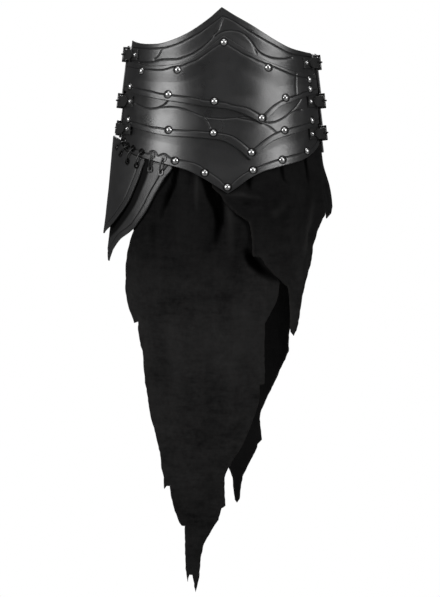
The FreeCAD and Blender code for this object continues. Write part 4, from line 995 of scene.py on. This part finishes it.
FRONT_CREASES = [
    Crease([(-66.9, -100), (-75, -139), (-85.7, -160.2), (-93.9, -181.3), (-97.2, -205.5)], 5.5, -7),
    Crease([(-20.6, -120), (-12.5, -152.4), (-2.8, -173.1), (0.5, -195.4), (-4.3, -224.2), (-7.4, -250)],
           9, -9),
    Crease([(-1.3, -140), (4.4, -161.9), (6, -184.3), (6, -205)], 3.5, -4),
    Crease([(-44.9, -115), (-50.5, -146.5), (-52.9, -172)], 4.5, -3),
    Crease([(-48.8, -168), (-51, -190), (-50.3, -215)], 7, -2.5, 0),
    Crease([(-34.3, -118), (-36.2, -146.3), (-36.2, -185)], 3.5, 3.5),
    Crease([(13, -160), (17.5, -200.2), (19, -260)], 7, 3, 0),
    Crease([(-112.3, -175), (-108.8, -243), (-98.9, -330)], 12, -3.2, 0),
    Crease([(45.4, -244), (55.1, -260), (69.5, -275), (85.6, -287), (112, -305)], 11, -7, 0.5),
    Crease([(-20, -250), (-26, -330), (-30, -430), (-34, -520)], 16, -2.5, 0),
    Crease([(40, -300), (38, -380), (20, -470)], 15, 3, 0),
    Crease([(-80, -320), (-74, -420), (-62, -500)], 14, 2.5, 0),
]
HIP_CREASES = [
    Crease([(-60.1, -118), (-60.5, -150)], 4.5, -7),
    Crease([(-12.8, -92), (-9.1, -127.9), (2.9, -142)], 3.8, -5.5),
    Crease([(35.6, -85), (40.2, -121.7), (45, -150)], 4.2, -6),
    Crease([(-88, -152.4), (-70.3, -151.5), (-64.4, -155.8), (-45, -157.5)], 3.6, 3.2, 0.3),
    Crease([(-76, -163), (-60.8, -168.6), (-40, -174.5)], 7, -3.4, 0),
    Crease([(52.6, -150), (35.5, -202.5), (18.2, -239.9), (7.5, -263.6), (7.7, -320)], 5, 4.2, 0),
    Crease([(40.4, -150), (24.5, -201.9), (6.9, -239.2), (-5.2, -285)], 8, -2.6, 0),
    Crease([(10, -152.7), (-1.4, -186.4), (-24, -204.9)], 8, -2.6, 0),
    Crease([(-36.4, -189.8), (-3.3, -167)], 7, 2.4, 0),
]
REAR_CREASES = [
    Crease([(-90, -80), (-84, -150), (-80, -230)], 7, -6),
    Crease([(-52, -80), (-47, -140), (-44, -190)], 5, -5),
    Crease([(-8, -90), (-4, -170), (-6, -260)], 8, -6.5),
    Crease([(34, -80), (38, -130), (36, -185)], 5, -5),
    Crease([(76, -80), (84, -150), (80, -240)], 7, -6),
    Crease([(112, -75), (118, -130), (114, -180)], 5, -4.5),
    Crease([(-30, -300), (-26, -400), (-20, -520)], 14, 3, 0),
    Crease([(50, -260), (44, -380), (30, -480)], 14, -3, 0),
]


class Hanger(Enum):
    """The band that a panel hangs from."""

    FRONT = "lower_band"
    BACK = "back_lower_band"


@dataclass
class SuedePanel:
    """One ragged hanging panel of the skirt, gathered into folds below the belt."""

    side: str
    outline: Line
    drop: float
    facing: float
    folds: Sequence[tuple[float, float, float]]
    creases: Sequence[Crease]
    base_offset: float
    tail_depth: float
    turn_place: tuple[float, float]
    seed: float
    in_painted_shade: bool = False
    hung_from: Hanger = Hanger.FRONT
    lift: float = 5.0
    fold_start: float = 14.0
    fold_run: float = 40.0
    thickness: float = 1.8
    step: float = 3.2
    half_width: float = 186.75
    reach: float = 88.0
    halvings: int = 26
    ripple: float = 1.44
    ripple_size: float = 11.0
    ripple_stretch: float = 0.35
    sag: float = 1.8
    sag_size: float = 46.0
    settle: float = 0.9
    hidden_share: float = 0.25
    nick_step: float = 5.0
    nick_depth: float = 1.1
    nick_size: float = 4.0
    rim_width: float = 3.0
    gather_shade_start: float = 1.8
    gather_shade_run: float = 2.8
    ridge_highlight_run: float = 3.5

    def offset(self, angle: Array, height: Array) -> tuple[Array, Array]:
        """The outer face's offset at places on the panel, and how far its folds have opened."""
        shares = angle / END_ANGLE
        seam, hang = (smooth_values([(fold[0], fold[k]) for fold in self.folds], shares) for k in (1, 2))
        opening = ease((hem_height(angle) - self.fold_start - height) / self.fold_run)
        strength = np.interp(height, *np.array(FOLD_LEVELS).T)
        return self.base_offset + self.lift * (seam * (1 - opening) + strength * hang * opening), opening

    def placed(self, across: Array, height: Array) -> tuple[Array, Array]:
        """Folds flat places of the panel round the body.

        Args:
            across: distance across the panel, seen from where it faces.
            height: height of each place.

        Returns:
            The points on the panel's outer face, and the painted fold shading: how deep in a gather each one
            is, below 0 on a ridge.
        """
        turn = math.radians(self.facing)
        wide, deep = FORM.halves(height)
        middle = np.degrees(np.arctan2(deep * math.sin(turn), wide * math.cos(turn)))
        if self.facing > 90:
            middle = np.mod(middle, 2 * HALF_TURN)
        least, most = middle - self.reach, middle + self.reach
        for _ in range(self.halvings):
            angle = (least + most) / 2
            points = FORM.point(angle, height, self.offset(angle, height)[0])
            short = points[:, 0] * math.cos(turn) + points[:, 1] * math.sin(turn) < across
            least, most = np.where(short, angle, least), np.where(short, most, angle)
        offset, opening = self.offset(angle, height)
        girth = FORM.girth(angle)
        wave = wander(girth, height * self.ripple_stretch, self.ripple_size, self.seed)
        sag = wander(girth, height, self.sag_size, self.seed + 5)
        crossing = sum(crease.lifts(np.stack([across, height], -1)) for crease in self.creases)
        offset += opening * (self.ripple * wave + self.sag * sag - self.settle)
        offset += crossing * np.clip(self.hidden_share + opening, 0, 1)
        # Painted shade in the gathers, and a painted highlight below 0 on the ridges
        gathered = np.clip((-crossing - self.gather_shade_start) / self.gather_shade_run, 0, 1)
        return FORM.point(angle, height, offset), gathered - np.clip(crossing / self.ridge_highlight_run, 0, 1)

    def ragged(self) -> list[tuple[float, float]]:
        """The outline with small uneven nicks between its corners."""
        corners = [(x / 1000 * self.half_width, -z / 1000 * self.drop) for x, z in self.outline]
        points = []
        for (x0, z0), (x1, z1) in zip(corners, corners[1:] + corners[:1]):
            length = math.hypot(x1 - x0, z1 - z0)
            count = max(1, round(length / self.nick_step))
            for index in range(count):
                part = index / count
                x, z = x0 + (x1 - x0) * part, z0 + (z1 - z0) * part
                grain = noise.noise(Vector((x / self.nick_size, z / self.nick_size, self.seed)))
                nick = 0.0 if index == 0 else self.nick_depth * grain
                points.append((x - (z1 - z0) / length * nick, z + (x1 - x0) / length * nick))
        return points

    def sheet(self, edge: list[tuple[float, float]]) -> bmesh.types.BMesh:
        """The flat sheet inside an edge, cut into a fine grid and folded round the body."""
        bm = bmesh.new()
        rim_layer, fold_shading_layer = (bm.verts.layers.float.new(key) for key in ("rim", "crease"))
        bm.faces.new([bm.verts.new((x * MM, 0.0, z * MM)) for x, z in edge])
        step = self.step
        for places, normal in zip(zip(*edge), ((1, 0, 0), (0, 0, 1))):
            for place in np.arange(min(places) + step, max(places), step):
                bmesh.ops.bisect_plane(bm, geom=[*bm.verts, *bm.edges, *bm.faces], dist=1e-7,
                                       plane_co=Vector(normal) * float(place) * MM, plane_no=normal)
        flat = np.array([(vert.co.x, vert.co.z) for vert in bm.verts]) / MM
        border = np.array(edge + edge[:1])
        nearness = np.concatenate([line_distance(part, border)[0] for part in np.array_split(flat, 12)])
        points, fold_shading = self.placed(flat[:, 0], flat[:, 1])
        for vert, point, near, deep in zip(bm.verts, points * MM, nearness, fold_shading):
            vert.co = point
            vert[rim_layer] = max(0.0, 1 - near / self.rim_width)
            vert[fold_shading_layer] = deep
        bmesh.ops.triangulate(bm, faces=[face for face in bm.faces if len(face.verts) > 4])
        bmesh.ops.recalc_face_normals(bm, faces=bm.faces)
        if sum(face.normal.xy.dot(face.calc_center_median().xy) for face in bm.faces) < 0:
            bmesh.ops.reverse_faces(bm, faces=bm.faces)
        return bm

    def build(self, finishes: Finishes) -> Object:
        """The panel's piece, in the place of its CAD nodes."""
        edge = self.ragged()
        bm = self.sheet(edge)
        area = sum(face.calc_area() for face in bm.faces)
        # A panel in painted shade takes the darker copy of the suede
        piece = add_piece(f"{self.side}_suede", bm, finishes.shaded_suede if self.in_painted_shade else finishes.suede)
        solid = piece.modifiers.new("thickness", "SOLIDIFY")
        solid.thickness = self.thickness * MM
        solid.offset = -1.0
        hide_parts(f"{self.side}_panel", f"{self.side}_panel_tail")
        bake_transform(piece)
        return piece


@dataclass
class Skirt:
    """The three panels of the skirt."""

    finishes: Finishes

    def build(self) -> list[Object]:
        """Every panel."""
        panels = [
            SuedePanel("front", FRONT_OUTLINE, 804.0, 0.0, FRONT_FOLDS, FRONT_CREASES, -2.5, 410.0,
                       (-35.3, -133.5), 1.7),
            SuedePanel("hip", HIP_OUTLINE, 383.0, 50.0, HIP_FOLDS, HIP_CREASES, -0.4, 262.0,
                       (117.6, -109.6), 4.2),
            SuedePanel("rear", REAR_OUTLINE, 713.0, 180.0, REAR_FOLDS, REAR_CREASES, -0.4, 410.0,
                       (-10.4, 138.1), 8.9, in_painted_shade=True, hung_from=Hanger.BACK),
        ]
        return [panel.build(self.finishes) for panel in panels]


@dataclass
class Lacing:
    """A cord whipped through the eyelets of the belt and one flap."""

    flap: Flap
    finishes: Finishes
    slack: float = 1.8
    radius: float = 1.25
    stand: float = 2.0
    flange: float = 1.2
    behind_band: float = 2.9
    behind_flap: float = 5.6

    def route(self) -> list[Vector]:
        """The cord's control points in metres, from its first end to its last."""
        points: list[Vector] = []
        node, drop = self.flap.node, self.flap.eyelet_drop
        for band_share, flap_share in zip(BAND_EYELETS[node], FLAP_EYELETS[node]):
            angle = np.array([band_share * END_ANGLE])
            height = LOWER_EDGE.height(angle) + EYELET_RISE
            inside, outside = (FORM.point(angle, height, np.array([offset]))[0]
                               for offset in (-self.behind_band, LEATHER + self.flange + self.stand))
            flap_outside, flap_inside = (self.flap.outer_point(flap_share * END_ANGLE, drop, depth)
                                         for depth in (-self.flange - self.stand, self.behind_flap))
            between = (outside + flap_outside) / 2
            between = between + between / np.linalg.norm(between[:2]) * [1, 1, 0] * self.slack
            points += [Vector(p * MM) for p in (inside, outside, between, flap_outside, flap_inside)]
        return points

    def build(self) -> Object:
        """The cord's piece, in the place of its CAD node."""
        node = self.flap.node.replace("tasset", "lace")
        curve = bpy.data.curves.new(f"{node}_cord", "CURVE")
        curve.dimensions = "3D"
        curve.bevel_depth = self.radius * MM
        curve.bevel_resolution = 5
        curve.use_fill_caps = True
        spline = curve.splines.new("NURBS")
        points = self.route()
        spline.points.add(len(points) - 1)
        for place, point in zip(spline.points, points):
            place.co = (*point, 1.0)
        spline.order_u = 3
        spline.use_endpoint_u = True
        spline.resolution_u = 8
        drawn = add_object(f"{node}_drawn", curve)
        bpy.context.view_layer.update()
        mesh = bpy.data.meshes.new_from_object(drawn.evaluated_get(bpy.context.evaluated_depsgraph_get()))
        bpy.data.objects.remove(drawn)
        mesh.materials.clear()
        mesh.materials.append(self.finishes.lace)
        for polygon in mesh.polygons:
            polygon.use_smooth = True
        piece = add_object(f"{node}_leather", mesh)
        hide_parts(node)
        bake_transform(piece)
        return piece


@dataclass
class Hardware:
    """Rivets, eyelets, buckles, prongs and straps, whose solids keep their own shape."""

    finishes: Finishes

    def dress(self) -> None:
        """Gives each kept CAD node its finish."""
        kinds = {
            "rivets": self.finishes.rivet, "eyelets": self.finishes.eyelet, "buckle": self.finishes.buckle,
            "prong": self.finishes.buckle, "strap": self.finishes.strap, "chape": self.finishes.strap,
        }
        for node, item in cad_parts.items():
            finish = kinds.get(node.split("_")[0])
            if finish is not None:
                item.data.materials.clear()
                item.data.materials.append(finish)
                log.info("dressed %s", node)


@dataclass(frozen=True)
class Stand:
    """A place seen from the armour, for a light or the camera."""

    azimuth: float
    elevation: float
    distance: float

    def carry(self, item: Object, target: Vector) -> None:
        """Puts an object at this place round a target, facing it."""
        turn, rise = math.radians(self.azimuth), math.radians(self.elevation)
        outward = Vector((math.sin(turn) * math.cos(rise), -math.cos(turn) * math.cos(rise), math.sin(rise)))
        item.location = target + outward * self.distance
        item.rotation_euler = (-outward).to_track_quat("-Z", "Y").to_euler()


@dataclass
class Studio:
    """A white floor and world, six soft lights and the camera."""

    stand: Stand = Stand(2.0, 7.0, 3.4)
    target: tuple[float, float, float] = (-0.0025, 0.0, -0.335)
    lens: float = 122.4
    floor_height: float = -0.86
    light_target: tuple[float, float, float] = (0.0, 0.0, -0.2)

    def light(self, name: str, stand: Stand, size: tuple[float, float], power: float) -> None:
        """Adds a soft rectangular light."""
        data = bpy.data.lights.new(name, "AREA")
        data.shape = "RECTANGLE"
        data.size, data.size_y = size
        data.energy = power
        stand.carry(add_object(name, data), Vector(self.light_target))

    def whiten(self, nodes: Nodes, kind: str, bright: Node, dim: Node) -> None:
        """Shows white to the camera, and a dimmer finish to the armour."""
        seen = nodes.add("LightPath").outputs["Is Camera Ray"]
        mixed = nodes.add("MixShader", {0: seen, 1: dim.outputs[0], 2: bright.outputs[0]})
        nodes.add(f"Output{kind}", {"Surface": mixed.outputs[0]})

    def build(self) -> None:
        """Makes the floor, lights, world and camera."""
        white = rgba(grey(1.0))
        pale = bpy.data.materials.new("white_floor")
        nodes = Nodes(pale)
        self.whiten(nodes, "Material", nodes.add("Emission", {"Color": white, "Strength": 1.0}),
                    nodes.add("BsdfDiffuse", {"Color": rgba(grey(0.3))}))
        bm = bmesh.new()
        bmesh.ops.create_grid(bm, x_segments=1, y_segments=1, size=12.0)
        bmesh.ops.translate(bm, vec=(0, 0, self.floor_height), verts=bm.verts)
        add_piece("floor", bm, pale)
        self.light("left_tall_light", Stand(-53.0, 18.0, 2.6), (1.1, 1.3), 54.0)
        self.light("right_tall_light", Stand(51.0, 18.0, 2.6), (1.0, 1.3), 46.0)
        self.light("front_soft_light", Stand(4.0, 48.0, 3.2), (2.2, 1.0), 12.0)
        self.light("front_small_light", Stand(0.0, 14.0, 2.6), (0.25, 0.25), 0.6)
        self.light("top_light", Stand(0.0, 80.0, 2.2), (1.6, 1.2), 14.0)
        self.light("back_light", Stand(180.0, 30.0, 2.8), (2.0, 1.6), 40.0)
        scene = bpy.context.scene
        scene.world = bpy.data.worlds.new("studio")
        nodes = Nodes(scene.world)
        self.whiten(nodes, "World", nodes.add("Background", {"Color": white, "Strength": 1.0}),
                    nodes.add("Background", {"Color": white, "Strength": 0.1}))
        data = bpy.data.cameras.new("camera")
        data.lens = self.lens
        data.sensor_width = 36.0
        data.clip_end = 50.0
        scene.camera = add_object("camera", data)
        self.stand.carry(scene.camera, Vector(self.target))
        scene.view_settings.view_transform = "Standard"


def main() -> None:
    """Builds every piece of the armour and the studio."""
    logging.basicConfig(level=logging.INFO)
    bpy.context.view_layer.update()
    Studio().build()
    finishes = Finishes()
    Hardware(finishes).dress()
    flaps = [
        Flap("tasset_side", "side_flap", SIDE_FLAP_HIGH, SIDE_FLAP_LOW, 1.0, 16.5, 1.0, 0.75),
        Flap("tasset_front", "front_flap", FRONT_FLAP_HIGH, FRONT_FLAP_LOW, -2.2, 3.2,
             covered_by=SIDE_FLAP_LOW),
    ]
    made = Belt(finishes).build()
    made += [flap.build(finishes) for flap in flaps]
    made += [Lacing(flap, finishes).build() for flap in flaps]
    made += Skirt(finishes).build()
    for piece in made:
        log.info("%s: %d faces", piece.name, len(piece.data.polygons))


if __name__ == "__main__":
    main()
